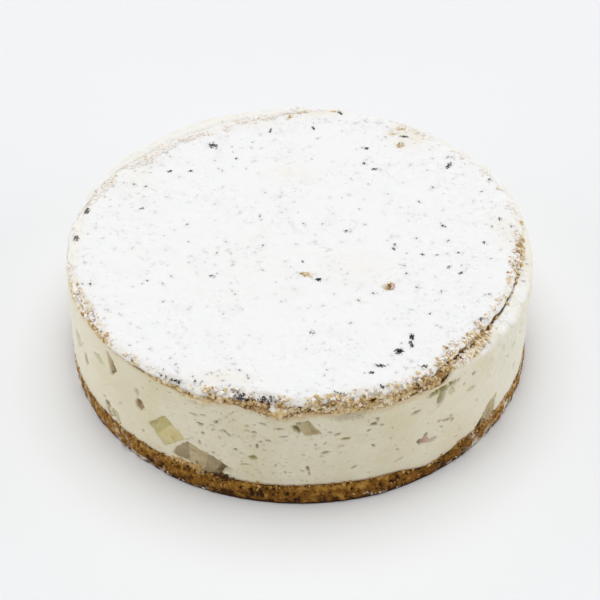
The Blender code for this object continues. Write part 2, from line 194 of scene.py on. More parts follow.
def fillMesh(name, points, faces, marks):
    mesh = bpy.data.meshes.new(name)
    mesh.vertices.add(len(points))
    mesh.vertices.foreach_set("co", (points * mm).astype(np.float32).ravel())
    sizes = np.concatenate([np.full(len(part), part.shape[1]) for part in faces])
    loops = np.concatenate([part.ravel() for part in faces])
    mesh.loops.add(len(loops))
    mesh.loops.foreach_set("vertex_index", loops.astype(np.int32))
    mesh.polygons.add(len(sizes))
    mesh.polygons.foreach_set("loop_start", (np.cumsum(sizes) - sizes).astype(np.int32))
    for key, values in marks.items():
        mesh.attributes.new(key, "FLOAT", "POINT").data.foreach_set("value", values.astype(np.float32))
    mesh.update(calc_edges=True)
    mesh.validate()
    mesh.shade_smooth()
    piece = bpy.data.objects.new(name, mesh)
    bpy.context.scene.collection.objects.link(piece)
    return piece


def tubeFaces(count, columns):
    # the faces of rows of points that close on themselves, with a pole before them and one after them
    here = np.arange(count * columns).reshape(count, columns)
    following = np.roll(here, -1, axis=1)
    quads = np.stack([here[:-1], here[1:], following[1:], following[:-1]], axis=-1).reshape(-1, 4)
    first = np.full(columns, count * columns)
    return [quads, np.concatenate([
        np.stack([first, here[0], following[0]], axis=-1),
        np.stack([first + 1, following[-1], here[-1]], axis=-1),
    ])]


def turnedPiece(name, rows, topPole, bottomPole, marks):
    # rows of points round the cake, from the middle of the top over the side to the middle below
    points = np.concatenate([rows.reshape(-1, 3), [(0.0, 0.0, topPole), (0.0, 0.0, bottomPole)]])
    full = {key: np.concatenate([values.reshape(-1), [0.0, 0.0]]) for key, values in marks.items()}
    return fillMesh(name, points, tubeFaces(*rows.shape[:2]), full)


def evenProfile(corners, step):
    # points an even step apart along a line through the corners
    corners = np.array(corners, float)
    run = np.concatenate([[0.0], np.cumsum(np.linalg.norm(np.diff(corners, axis=0), axis=1))])
    places = np.linspace(0.0, run[-1], int(run[-1] / step) + 1)
    return np.stack([np.interp(places, run, corners[:, i]) for i in range(2)], axis=-1)


def profileNormals(profile):
    along = np.gradient(profile, axis=0)
    away = np.stack([-along[:, 1], along[:, 0]], axis=-1)
    return away / np.maximum(np.linalg.norm(away, axis=1, keepdims=True), 1e-6)


def unitBall(detail):
    shell = bmesh.new()
    bmesh.ops.create_icosphere(shell, subdivisions=detail, radius=0.5)
    ball = np.array([v.co[:] for v in shell.verts])
    tris = np.array([[v.index for v in f.verts] for f in shell.faces])
    shell.free()
    return ball, tris


def lumpMesh(name, spots, sizes, squash, seed, rough=0.28, fineFrom=1.2, tone=None, dust=None):
    # many small uneven lumps in one mesh, each turned its own way; those over fineFrom mm are rounder
    draw = np.random.default_rng(seed)
    spots, sizes = np.asarray(spots, float), np.asarray(sizes, float)
    tone = draw.uniform(0.0, 1.0, len(spots)) if tone is None else np.asarray(tone, float)
    dust = np.zeros(len(spots)) if dust is None else np.asarray(dust, float)
    points, faces, tones, dusts, before = [], [], [], [], 0
    for detail, chosen in ((1, sizes < fineFrom), (2, sizes >= fineFrom)):
        count = int(chosen.sum())
        if not count:
            continue
        ball, tris = unitBall(detail)
        turn = draw.uniform(0.0, 2.0 * math.pi, count)
        tilt = draw.uniform(-0.6, 0.6, (count, 2))
        stretch = draw.uniform(0.7, 1.35, (count, 3)) * np.array([1.0, 1.0, squash])
        bumps = 1.0 + rough * draw.uniform(-1.0, 1.0, (count, len(ball)))
        local = ball[None] * bumps[..., None] * stretch[:, None] * sizes[chosen][:, None, None]
        x = local[..., 0] * np.cos(turn)[:, None] - local[..., 1] * np.sin(turn)[:, None]
        y = local[..., 0] * np.sin(turn)[:, None] + local[..., 1] * np.cos(turn)[:, None]
        z = local[..., 2] + tilt[:, :1] * x + tilt[:, 1:] * y
        points.append((np.stack([x, y, z], axis=-1) + spots[chosen][:, None]).reshape(-1, 3))
        faces.append((tris[None] + (np.arange(count) * len(ball))[:, None, None]).reshape(-1, 3) + before)
        tones.append(np.repeat(tone[chosen], len(ball)))
        dusts.append(np.repeat(dust[chosen], len(ball)))
        before += count * len(ball)
    marks = {"tone": np.concatenate(tones), "dust": np.concatenate(dusts)}
    piece = fillMesh(name, np.concatenate(points), faces, marks)
    piece.data.shade_flat()
    return piece


def dress(piece, material, slotName, *nodes):
    piece.data.materials.append(material)
    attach(piece, "root")
    if nodes:
        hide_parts(*nodes)


def newGroup(name, inputs, outputs):
    # an input that holds a tuple is a colour, and so is an output called Color
    group = bpy.data.node_groups.new(name, "ShaderNodeTree")
    for label, value in inputs.items():
        isColour = isinstance(value, tuple)
        kind = "NodeSocketColor" if isColour else "NodeSocketFloat"
        socket = group.interface.new_socket(name=label, in_out="INPUT", socket_type=kind)
        socket.default_value = (*value, 1.0) if isColour else value
    for label in outputs:
        kind = "NodeSocketColor" if label == "Color" else "NodeSocketFloat"
        group.interface.new_socket(name=label, in_out="OUTPUT", socket_type=kind)
    return group, group.nodes.new("NodeGroupInput"), group.nodes.new("NodeGroupOutput")


def node(tree, kind, values=None, **settings):
    made = tree.nodes.new(kind)
    for key, value in settings.items():
        setattr(made, key, value)
    for key, value in (values or {}).items():
        if isinstance(value, bpy.types.NodeSocket):
            tree.links.new(value, made.inputs[key])
        else:
            made.inputs[key].default_value = value
    return made


def blendColour(tree, share, first, second, mode="MIX"):
    made = node(tree, "ShaderNodeMix", data_type="RGBA", blend_type=mode)
    for index, value in ((0, share), (6, first), (7, second)):
        if isinstance(value, bpy.types.NodeSocket):
            tree.links.new(value, made.inputs[index])
        elif index == 0:
            made.inputs[index].default_value = value
        else:
            made.inputs[index].default_value = (*value, 1.0)
    return made.outputs[2]


def spread(tree, value, low, high, newLow=0.0, newHigh=1.0, smooth=True):
    made = node(tree, "ShaderNodeMapRange", {1: low, 2: high, 3: newLow, 4: newHigh})
    made.interpolation_type = "SMOOTHSTEP" if smooth else "LINEAR"
    made.clamp = True
    tree.links.new(value, made.inputs[0])
    return made.outputs[0]


def sums(tree, operation, first, second):
    made = node(tree, "ShaderNodeMath", operation=operation, use_clamp=False)
    for index, value in enumerate((first, second)):
        if isinstance(value, bpy.types.NodeSocket):
            tree.links.new(value, made.inputs[index])
        else:
            made.inputs[index].default_value = value
    return made.outputs[0]


def times(tree, first, second):
    return sums(tree, "MULTIPLY", first, second)


def plus(tree, first, second):
    return sums(tree, "ADD", first, second)


def minus(tree, first, second):
    return sums(tree, "SUBTRACT", first, second)


def scaledNoise(tree, size, detail=2.0, rough=0.5, stretch=(1.0, 1.0, 1.0)):
    # noise whose features are about the given size in mm
    coords = node(tree, "ShaderNodeTexCoord")
    sized = node(tree, "ShaderNodeMapping", {"Vector": coords.outputs["Object"], "Scale": stretch})
    made = node(tree, "ShaderNodeTexNoise", {
        "Vector": sized.outputs[0], "Scale": 1.0 / (size * mm), "Detail": detail, "Roughness": rough,
    })
    return made.outputs["Fac"]


def makeDustGroup():
    # icing sugar that settles on what faces up; Cover adds more of it and Patch is the size of its gaps
    group, inward, outward = newGroup(
        "sugarDust",
        {"Amount": 0.5, "Cover": 0.0, "Patch": 400.0},
        ("Mask",),
    )
    facing = node(group, "ShaderNodeNewGeometry")
    parts = node(group, "ShaderNodeSeparateXYZ", {0: facing.outputs["Normal"]})
    coords = node(group, "ShaderNodeTexCoord")
    gaps = node(group, "ShaderNodeTexNoise", {
        "Vector": coords.outputs["Object"], "Scale": inward.outputs["Patch"], "Detail": 2.0,
    })
    settled = times(group, spread(group, parts.outputs["Z"], 0.0, 0.9), inward.outputs["Amount"])
    ragged = times(group, minus(group, gaps.outputs["Fac"], 0.5), 1.3)
    loose = plus(group, plus(group, settled, inward.outputs["Cover"]), ragged)
    group.links.new(spread(group, loose, 0.25, 0.75), outward.inputs["Mask"])
    return group


def makeCrumbGroup():
    # baked crumb by its tone, from burnt through brown and golden to pale, with painted shade in its
    # hollows
    group, inward, outward = newGroup(
        "bakedCrumb",
        {
            "Pale": (0.86, 0.70, 0.46), "Golden": (0.66, 0.41, 0.15), "Brown": (0.32, 0.15, 0.045),
            "Burnt": (0.07, 0.028, 0.01), "Grain": 900.0, "Tone": 0.5, "HollowShade": 0.0, "Vary": 0.5,
        },
        ("Color", "Height"),
    )
    given = inward.outputs
    place = node(group, "ShaderNodeTexCoord").outputs["Object"]
    grains = node(group, "ShaderNodeTexVoronoi", {"Vector": place, "Scale": given["Grain"]})
    fine = node(group, "ShaderNodeTexNoise", {
        "Vector": place, "Scale": times(group, given["Grain"], 0.4), "Detail": 4.0, "Roughness": 0.62,
    })
    grainTone = node(group, "ShaderNodeSeparateColor", {0: grains.outputs["Color"]})
    byGrain = times(group, minus(group, grainTone.outputs[0], 0.5), 0.5)
    wander = plus(group, byGrain, times(group, minus(group, fine.outputs["Fac"], 0.5), 1.8))
    tone = plus(group, given["Tone"], times(group, wander, given["Vary"]))
    # painted shade: darker where the hollow mark is
    tone = minus(group, tone, times(group, given["HollowShade"], 0.7))
    colour = blendColour(group, spread(group, tone, 0.0, 0.33), given["Burnt"], given["Brown"])
    colour = blendColour(group, spread(group, tone, 0.33, 0.66), colour, given["Golden"])
    colour = blendColour(group, spread(group, tone, 0.66, 1.0), colour, given["Pale"])
    group.links.new(colour, outward.inputs["Color"])
    height = minus(group, fine.outputs["Fac"], times(group, grains.outputs["Distance"], 0.5))
    group.links.new(height, outward.inputs["Height"])
    return group


def makeDashGroup():
    # short level dashes pressed into a soft wall; Share is how many of the places hold one
    group, inward, outward = newGroup("dashPits", {"Scale": 300.0, "Share": 0.5, "Size": 0.2}, ("Depth",))
    given = inward.outputs
    place = node(group, "ShaderNodeTexCoord").outputs["Object"]
    shift = node(group, "ShaderNodeTexNoise", {"Vector": place, "Scale": 900.0, "Detail": 2.0})
    push = node(group, "ShaderNodeVectorMath", {0: shift.outputs["Color"], 1: (0.5, 0.5, 0.5)},
                operation="SUBTRACT")
    push = node(group, "ShaderNodeVectorMath", {0: push.outputs[0], 3: 0.0011}, operation="SCALE")
    moved = node(group, "ShaderNodeVectorMath", {0: place, 1: push.outputs[0]}, operation="ADD")
    flat = node(group, "ShaderNodeMapping", {"Vector": moved.outputs[0], "Scale": (1.0, 1.0, 2.5)})
    cells = node(group, "ShaderNodeTexVoronoi", {"Vector": flat.outputs[0], "Scale": given["Scale"]})
    chance = node(group, "ShaderNodeSeparateColor", {0: cells.outputs["Color"]})
    reach = times(group, given["Size"], plus(group, chance.outputs[1], 0.4))
    hole = node(group, "ShaderNodeMapRange", {0: cells.outputs["Distance"], 2: reach, 3: 1.0, 4: 0.0})
    group.links.new(times(group, reach, 0.55), hole.inputs[1])
    kept = sums(group, "LESS_THAN", chance.outputs[0], given["Share"])
    group.links.new(times(group, hole.outputs[0], kept), outward.inputs["Depth"])
    return group


dustGroup = makeDustGroup()
crumbGroup = makeCrumbGroup()
dashGroup = makeDashGroup()


def newMaterial(name, roughness, specular=0.5, subsurface=0.0, subsurfaceSize=1.0):
    material = bpy.data.materials.new(name)
    material.use_nodes = True
    tree = material.node_tree
    shader = tree.nodes["Principled BSDF"]
    shader.inputs["Roughness"].default_value = roughness
    shader.inputs["Specular IOR Level"].default_value = specular
    shader.inputs["Subsurface Weight"].default_value = subsurface
    shader.inputs["Subsurface Radius"].default_value = (1.0, 0.8, 0.55)
    shader.inputs["Subsurface Scale"].default_value = subsurfaceSize * mm
    return material, tree, shader


def mark(tree, name):
    return node(tree, "ShaderNodeAttribute", attribute_name=name).outputs["Fac"]


def bump(tree, shader, height, distance, strength=1.0):
    made = node(tree, "ShaderNodeBump", {"Height": height, "Distance": distance * mm, "Strength": strength})
    tree.links.new(made.outputs[0], shader.inputs["Normal"])


def useGroup(tree, group, values):
    made = node(tree, "ShaderNodeGroup", node_tree=group)
    for key, value in values.items():
        if isinstance(value, bpy.types.NodeSocket):
            tree.links.new(value, made.inputs[key])
        elif isinstance(value, tuple):
            made.inputs[key].default_value = (*value, 1.0)
        else:
            made.inputs[key].default_value = value
    return made


creamLook = {
    "cream": (0.865, 0.80, 0.615),
    "richCream": (0.80, 0.725, 0.50),
    "olive": (0.40, 0.35, 0.10),
    "brown": (0.30, 0.14, 0.045),
    "pink": (0.62, 0.30, 0.22),
    "shade": (0.22, 0.19, 0.12),
    "tan": (0.72, 0.52, 0.28),
    # the painted light of the sides and back
    "pale": (0.90, 0.865, 0.765),
    "sugar": (0.94, 0.935, 0.925),
    "dashes": ((260, 0.19, 0.7), (520, 0.17, 0.45)),  # cells a metre, size, depth in mm
}


def makeCreamMaterial():
    material, tree, shader = newMaterial("ricottaCream", 0.5, 0.3, 0.12, 1.6)
    broad = scaledNoise(tree, 26.0, 3.0)
    colour = blendColour(tree, spread(tree, broad, 0.4, 0.75), creamLook["cream"], creamLook["richCream"])
    mottle = spread(tree, scaledNoise(tree, 5.0, 4.0, 0.6, (1.0, 1.0, 1.5)), 0.45, 0.7, 0.0, 0.42)
    colour = blendColour(tree, mottle, colour, creamLook["richCream"])
    # painted light: paler at the sides and back
    colour = blendColour(tree, mark(tree, "pale"), colour, creamLook["pale"])
    fine = scaledNoise(tree, 1.1, 4.0, 0.6, (1.0, 1.0, 1.8))
    height = times(tree, fine, 0.55)
    for scale, size, depth in creamLook["dashes"]:
        share = times(tree, mark(tree, "pitted"), 0.3)
        dash = useGroup(tree, dashGroup, {"Scale": scale, "Share": share, "Size": size}).outputs["Depth"]
        height = minus(tree, height, times(tree, dash, depth))
        colour = blendColour(tree, times(tree, dash, 0.14), colour, creamLook["shade"])
    for name in ("tan", "olive", "brown", "pink", "shade"):
        colour = blendColour(tree, mark(tree, name), colour, creamLook[name])
    veil = mark(tree, "veil")
    cover = minus(tree, times(tree, veil, 0.7), 0.25)
    dust = useGroup(tree, dustGroup, {"Amount": 0.3, "Cover": cover, "Patch": 330.0})
    grains = times(tree, dust.outputs["Mask"], sums(tree, "GREATER_THAN", veil, 0.02))
    sugared = sums(tree, "MAXIMUM", times(tree, veil, 0.55), grains)
    colour = blendColour(tree, sugared, colour, creamLook["sugar"])
    tree.links.new(colour, shader.inputs["Base Color"])
    bump(tree, shader, height, 1.0, 0.8)
    return material


# The baked pieces: their colours, how much dust settles on them, the marks of painted shade in their
# hollows and of dust, how much their tone changes, grains a metre, and the dust's patches a metre and
# its colour.
crumbDefaults = {
    "dust": 0.3, "hollowShade": None, "cover": "dust", "vary": 0.5, "grain": 900, "patch": 420,
    "dustColour": (0.93, 0.885, 0.82),
}
crumbLooks = {
    "goldenBiscuit": {
        "Pale": (0.90, 0.80, 0.57), "Golden": (0.75, 0.55, 0.26), "Brown": (0.42, 0.23, 0.075),
        "Burnt": (0.12, 0.055, 0.018), "hollowShade": "hollowShade", "cover": "cover", "vary": 0.4, "grain": 800,
    },
    "brownBiscuit": {
        "Pale": (0.68, 0.44, 0.17), "Golden": (0.45, 0.235, 0.042), "Brown": (0.235, 0.10, 0.011),
        "Burnt": (0.055, 0.02, 0.004), "dust": 0.1, "hollowShade": "hollowShade", "cover": "cover", "vary": 0.4,
        "grain": 760, "patch": 230, "dustColour": (0.78, 0.71, 0.58),
    },
    "burntFlake": {
        "Pale": (0.46, 0.45, 0.45), "Golden": (0.20, 0.19, 0.195), "Brown": (0.055, 0.051, 0.05),
        "Burnt": (0.012, 0.011, 0.012), "dust": 0.25,
    },
    "toastedCrumb": {
        "Pale": (0.92, 0.84, 0.67), "Golden": (0.79, 0.63, 0.35), "Brown": (0.42, 0.24, 0.10),
        "Burnt": (0.10, 0.045, 0.02),
    },
    "nutSpeck": {
        "Pale": (0.72, 0.71, 0.69), "Golden": (0.46, 0.44, 0.42), "Brown": (0.17, 0.155, 0.15),
        "Burnt": (0.05, 0.045, 0.045),
    },
    "looseCrumb": {
        "Pale": (0.91, 0.82, 0.65), "Golden": (0.74, 0.56, 0.29), "Brown": (0.40, 0.22, 0.08),
        "Burnt": (0.13, 0.06, 0.02), "vary": 0.45, "patch": 800, "dustColour": (0.93, 0.89, 0.845),
    },
    "looseBaseCrumb": {
        "Pale": (0.70, 0.48, 0.22), "Golden": (0.47, 0.26, 0.06), "Brown": (0.235, 0.10, 0.014),
        "Burnt": (0.07, 0.028, 0.01), "dust": 0.0, "vary": 0.35, "dustColour": (0.80, 0.74, 0.61),
    },
    "tornScrap": {
        "Pale": (0.84, 0.72, 0.60), "Golden": (0.72, 0.56, 0.42), "Brown": (0.50, 0.34, 0.22),
        "Burnt": (0.2, 0.1, 0.06), "cover": None, "vary": 0.3,
    },
}


def makeCrumbMaterial(name):
    look = {**crumbDefaults, **crumbLooks[name]}
    material, tree, shader = newMaterial(name, 0.85, 0.2)
    values = {key: look[key] for key in ("Pale", "Golden", "Brown", "Burnt")}
    values.update({"Grain": look["grain"], "Vary": look["vary"], "Tone": mark(tree, "tone")})
    # painted shade in the piece's hollows
    if look["hollowShade"]:
        values["HollowShade"] = mark(tree, look["hollowShade"])
    crumb = useGroup(tree, crumbGroup, values)
    dusting = {"Amount": look["dust"], "Patch": look["patch"]}
    if look["cover"]:
        dusting["Cover"] = mark(tree, look["cover"])
    dust = useGroup(tree, dustGroup, dusting)
    colour = blendColour(tree, dust.outputs["Mask"], crumb.outputs["Color"], look["dustColour"])
    tree.links.new(colour, shader.inputs["Base Color"])
    bump(tree, shader, crumb.outputs["Height"], 0.5, 0.7)
    return material


sugarLook = {
    "powder": (0.918, 0.918, 0.915),
    "shade": (0.74, 0.74, 0.73),
    "fleck": (0.36, 0.35, 0.34),
    "warm": (0.86, 0.78, 0.62),
    "ivory": (0.915, 0.895, 0.83),
    # size in mm, from and to which noise value, darkness
    "marks": ((3.4, 0.56, 0.72, 0.30), (1.8, 0.58, 0.74, 0.33), (9, 0.50, 0.70, 0.06)),
}


def makeSugarMaterial(name, flecked):
    material, tree, shader = newMaterial(name, 0.95, 0.15, 0.1, 0.8)
    patches = scaledNoise(tree, 15.0, 5.0, 0.65)
    shaded = spread(tree, patches, 0.5, 0.85, 0.0, 0.22)
    colour = blendColour(tree, shaded, sugarLook["powder"], sugarLook["shade"])
    if flecked:
        colour = blendColour(tree, mark(tree, "warm"), colour, sugarLook["warm"])
        colour = blendColour(tree, mark(tree, "veil"), colour, sugarLook["ivory"])
        where = spread(tree, scaledNoise(tree, 21.0, 3.0, 0.6), 0.42, 0.6)
        for size, low, high, strength in sugarLook["marks"]:
            ticks = spread(tree, scaledNoise(tree, size, 3.0, 0.6), low, high, 0.0, strength)
            colour = blendColour(tree, times(tree, ticks, where), colour, sugarLook["fleck"])
        ragged = spread(tree, scaledNoise(tree, 1.6, 3.0, 0.6), 0.36, 0.62)
        smudged = times(tree, mark(tree, "smudge"), ragged)
        colour = blendColour(tree, smudged, colour, sugarLook["fleck"])
    tree.links.new(colour, shader.inputs["Base Color"])
    bump(tree, shader, scaledNoise(tree, 0.9, 5.0, 0.7), 0.35, 0.6)
    return material


def makePearMaterial(name, flesh, edge, darkAndShade, stringy):
    material, tree, shader = newMaterial(name, 0.4, 0.4, 0.2, 1.6)
    blot = scaledNoise(tree, 4.0, 3.0)
    strings = scaledNoise(tree, 0.8, 3.0, 0.6, (1.0, 1.0, 0.3))
    share = plus(tree, spread(tree, blot, 0.38, 0.68), times(tree, minus(tree, strings, 0.5), stringy))
    colour = blendColour(tree, share, flesh, edge)
    # darker where marked: partly the pear's own colour, partly painted shade in its recesses
    colour = blendColour(tree, mark(tree, "darkAndShade"), colour, darkAndShade)
    tree.links.new(colour, shader.inputs["Base Color"])
    bump(tree, shader, strings, 0.3, 0.6)
    return material


creamShape = {
    "rowStep": 0.5,
    "wallHigh": 43.5,  # of the rows from the lip down to the base
    "foot": 0.35,  # how far it stands in just above the base
    "pocket": 2.4,  # how far the pears' beds lie in
    "pitCount": 430,
    "pitSeed": 21,
    "smear": 0.22,  # height of the strokes at the sides
    # how white with sugar its lip is
    "veil": (
        (-180, 0.9), (-150, 0.7), (-100, 0.7), (-60, 0.3), (40, 0.25), (52, 0.6), (62, 0.95), (74, 0.8),
        (86, 0.2), (97, 0.3), (108, 0.8), (150, 1),
    ),
    # how pale it is: painted light, paler at the sides and back, which catch more light than the front
    "pale": ((-180, 0.75), (-88, 0.75), (-50, 0), (34, 0), (76, 0.75)),
    # how round its lip is
    "roundness": ((-180, 0.35), (-110, 0.4), (-85, 1), (92, 1), (110, 0.45), (150, 0.35)),
}

# Pears that show at the side: depth, corners (angle, height) clockwise from outside, the kind of flesh,
# how far the face lies in, how much further its right end does, and how dark it is in its middle,
# towards the right and towards the top; that darkness is partly the pear's own and partly painted shade
# where it lies deep in the cream.
pearFaces = (
    (9.5, ((-38, 27), (-32.8, 36.9), (-27, 27), (-33, 17.7)), "yellow", 0.45, 0.2, (0, 0, 0)),
    (9, ((-31, 15.8), (-26.8, 26.3), (-20.3, 22.1), (-15, 16.5), (-17.6, 13), (-19.2, 5.4), (-24.4, 6.2),
         (-25.2, 14.6)), "grey", 0.15, 1.6, (0.10, 0.12, 0)),
    (5, ((-42, 35.6), (-41.2, 38.6), (-39.8, 38.6), (-39, 35.4), (-39.9, 31.8), (-41.4, 32.2)), "brown",
     0.6, -0.3, (0.1, -0.35, -0.1)),
    (6, ((-52, 53.3), (-49.8, 51.6), (-48, 45.8), (-50.6, 39.9), (-51.4, 46.5)), "grey", 0.7, 1,
     (0.15, 0.45, -0.2)),
    (4, ((-58.8, 41.8), (-56, 45.2), (-53, 42.4), (-55.6, 41.2)), "green", 0.5, 0, (0.05, 0, 0.2)),
    (7, ((-72.5, 35.3), (-69.2, 39.2), (-66.4, 34.8), (-69.2, 28.4)), "green", 0.3, 0, (0, 0, 0)),
    (5, ((-65.5, 29.3), (-63.8, 33.6), (-62.6, 29.3), (-64, 25.6)), "grey", 0.5, 0, (0.05, 0, 0)),
    (5, ((-51.6, 18.4), (-49.4, 18.9), (-47.8, 16.3), (-51.4, 12.6)), "green", 0.4, 0, (0.1, -0.3, 0)),
    (6, ((-0.9, 50.2), (2.3, 51.8), (5.3, 43.4), (1.6, 42.6)), "grey", 0.1, -0.5, (0, 0.1, 0)),
    (4, ((28.9, 23.3), (31.5, 27.6), (33.2, 21.4)), "pink", 0.6, -0.8, (0.25, -0.6, 0)),
    (7, ((48.6, 9.4), (49, 13.2), (53, 20.5), (56.6, 22.6), (55.8, 9.2)), "grey", 0.5, -0.8,
     (0.2, -0.3, 0)),
    (3.5, ((43.2, 41), (45.2, 42.6), (46.8, 40.6), (44.2, 39.2)), "green", 0.4, 0, (0.1, -0.1, 0.2)),
)
# Pears on the side that faces away.
backPears = {
    "fromAngle": 84,
    "toAngle": 274,
    "step": 17.5,
    "sizes": (15, 7.5, 11, 5.5, 17, 8.5),
    "seed": 11,
    "kinds": ("yellow", "grey", "green", "brown", "grey"),
}

# Hollows and stains in the cream: angle, height, half width, half height, tilt in degrees, depth, and
# the shares of olive, brown, pink and painted shade in their colour. All lengths are in mm. The wide
# marks just under the biscuit at 12 and 36 degrees are partly painted shadow under its rim.
creamMarks = (
    (36, 51.4, 9.6, 2.1, 3, 1.9, 0.95, 0.05, 0, 0.1), (32.8, 50.6, 2.2, 0.9, 25, 1.3, 0.5, 0, 0, 0.1),
    (35.4, 46.8, 2, 5.4, -16, 1.8, 0.75, 0, 0, 0), (12, 52.2, 10, 2.6, 0, 0.8, 0.10, 0, 0, 0.24),
    (38.4, 47.6, 2.2, 3, 20, 0.8, 0.35, 0, 0, 0), (28.5, 44.2, 3.1, 0.85, 10, 1.2, 0.70, 0, 0, 0.15),
    (45, 40.8, 2.4, 1.1, 0, 0.6, 0.45, 0, 0, 0), (37.6, 30.4, 3.8, 0.8, -14, 1, 0.05, 0, 0, 0.55),
    (35.3, 32.2, 1.4, 0.7, 25, 0.9, 0, 0, 0, 0.6), (39.4, 28.4, 1.6, 0.6, 30, 0.9, 0, 0, 0, 0.5),
    (36, 27.9, 1.2, 0.5, -30, 0.8, 0, 0, 0, 0.5), (38.9, 31.6, 1.7, 0.5, 10, 0.8, 0, 0, 0, 0.4),
    (11.2, 38.7, 2.5, 0.9, 2, 1.2, 0.95, 0, 0, 0), (6.4, 31.2, 2.4, 0.8, 12, 1.1, 0.80, 0, 0, 0),
    (2.4, 21.6, 1, 1.6, 0, 1.1, 0.95, 0, 0, 0.1), (2.7, 18.4, 0.6, 1.4, 0, 0.5, 0.75, 0, 0, 0),
    (13.2, 20, 1.9, 0.6, 25, 0.9, 0.20, 0, 0, 0.4), (17.7, 45, 1.7, 1, 5, 1.5, 0, 0.1, 0, 0.85),
    (18.6, 47.4, 0.7, 1.3, -30, 1, 0, 0, 0, 0.45), (-10.4, 26.4, 2.2, 1.5, 0, 1.3, 0.90, 0, 0, 0.1),
    (-23, 40.4, 1.8, 1.2, -15, 1.2, 0.80, 0, 0, 0), (-19.1, 44.6, 1.3, 1, 30, 1.3, 0.25, 0, 0, 0.6),
    (-22.6, 35.3, 1, 0.9, 0, 1.1, 0.1, 0, 0, 0.6), (-14.5, 30, 1, 0.8, 0, 1.1, 0.1, 0, 0, 0.6),
    (-9.4, 34.3, 0.7, 1.5, -10, 1, 0.1, 0, 0, 0.5), (-20, 24.8, 0.8, 0.7, 0, 1.2, 0, 0.1, 0, 0.7),
    (-23.5, 29, 0.9, 1.5, 0, 0.8, 0.2, 0, 0, 0.25), (-24.6, 45.4, 2.8, 0.5, -8, 0.9, 0.1, 0, 0, 0.4),
    (-22.4, 46.6, 2, 0.5, 10, 0.8, 0.1, 0, 0, 0.4), (-17, 39.8, 1.9, 0.6, -35, 0.9, 0.1, 0, 0, 0.5),
    (-16, 38.2, 1.3, 0.6, -45, 0.9, 0.1, 0, 0, 0.5), (-10, 42.8, 1.4, 0.7, 0, 1, 0.1, 0, 0, 0.5),
    (-11.6, 43.2, 1, 0.5, 0, 0.8, 0, 0, 0, 0.5), (-8, 48.4, 2.2, 0.5, -12, 0.8, 0.1, 0, 0, 0.35),
    (-4.4, 46.2, 2.6, 0.5, 6, 0.9, 0, 0, 0, 0.45), (-3.2, 41.6, 2.4, 0.5, 8, 0.8, 0.1, 0, 0, 0.4),
    (-6.8, 38.6, 1.5, 0.6, 0, 0.9, 0.1, 0, 0, 0.4), (-12, 21.6, 2.2, 0.45, 8, 0.8, 0.1, 0, 0, 0.4),
    (-2.8, 19.2, 0.6, 0.6, 0, 1, 0, 0.1, 0, 0.8), (-41.2, 42, 1.6, 2.6, 0, 0.6, 0.12, 0, 0, 0.30),
    (-39.8, 19.6, 0.5, 0.8, 0, 0.9, 0.2, 0, 0, 0.4), (-47.6, 26.6, 2.8, 0.4, 45, 0.8, 0.1, 0, 0, 0.3),
    (-0.4, 46.6, 3, 1.5, -52, 1.9, 1, 0, 0, 0.35), (47.8, 30, 1.2, 0.4, -50, 0.7, 0.1, 0, 0, 0.3),
    (45.8, 49.4, 1.6, 0.9, 10, 1.1, 0, 0.2, 0, 0.5), (29.8, 24.2, 1.5, 2.2, 25, 1.3, 0.25, 0.1, 0, 0.6),
    (31, 23.4, 1.1, 1, 0, 0.3, 0, 0, 0.85, 0), (33.6, 22.6, 2.6, 1.6, 10, 0.7, 0.05, 0, 0, 0.35),
    (31.6, 27.4, 0.8, 1.7, -40, 1, 0, 0, 0.1, 0.9), (-53.2, 18.2, 2.6, 1.9, 4, 2, 0.10, 0.85, 0, 0.45),
    (-53, 13.8, 1.9, 3, 4, 1.8, 0.05, 0.55, 0.35, 0), (-54.6, 20.8, 1.8, 0.9, 20, 1, 0.10, 0.3, 0, 0.3),
    (-49, 13.6, 2, 2, 30, 0.7, 0.25, 0, 0, 0.25), (61, 38.4, 1.6, 0.6, -30, 0.8, 0.1, 0, 0, 0.45),
    (64.5, 40.6, 3, 0.6, 12, 0.6, 0.1, 0, 0, 0.2), (70, 39.4, 3.4, 0.9, -30, 0.8, 0.1, 0, 0, 0.35),
    (66.4, 24, 2.6, 2.4, 0, 0.5, 0.35, 0, 0, 0), (41, 16, 0.9, 0.5, 0, 0.7, 0.1, 0, 0, 0.4),
    (24.4, 18, 3, 0.4, 22, 0.8, 0.1, 0, 0, 0.3), (23.8, 25, 1.2, 0.5, 0, 0.7, 0, 0, 0, 0.3),
    (17.8, 31.6, 1.2, 0.7, -30, 1, 0.1, 0, 0, 0.5), (5.6, 29.2, 1.6, 0.4, 10, 0.8, 0.1, 0, 0, 0.3),
    (16.4, 41.6, 1.6, 0.5, 20, 0.8, 0, 0, 0, 0.3), (19.6, 43.4, 1.4, 0.7, 0, 0.9, 0, 0, 0, 0.35),
    (9, 42, 1.6, 0.6, 20, 0.9, 0.1, 0, 0, 0.35), (7.4, 43.6, 1.2, 0.6, 0, 0.9, 0.1, 0, 0, 0.45),
    (10, 34.6, 2.2, 0.5, 6, 0.8, 0.1, 0, 0, 0.25),
)
# How close together the small pits in the cream are, by angle.
pitDensity = (
    (-180, 0.3), (-90, 0.25), (-50, 0.08), (-30, 0.25), (-23, 0.9), (-10, 1.3), (0, 0.7), (10, 0.5),
    (22, 0.4), (34, 0.35), (44, 0.2), (60, 0.2), (120, 0.3),
)


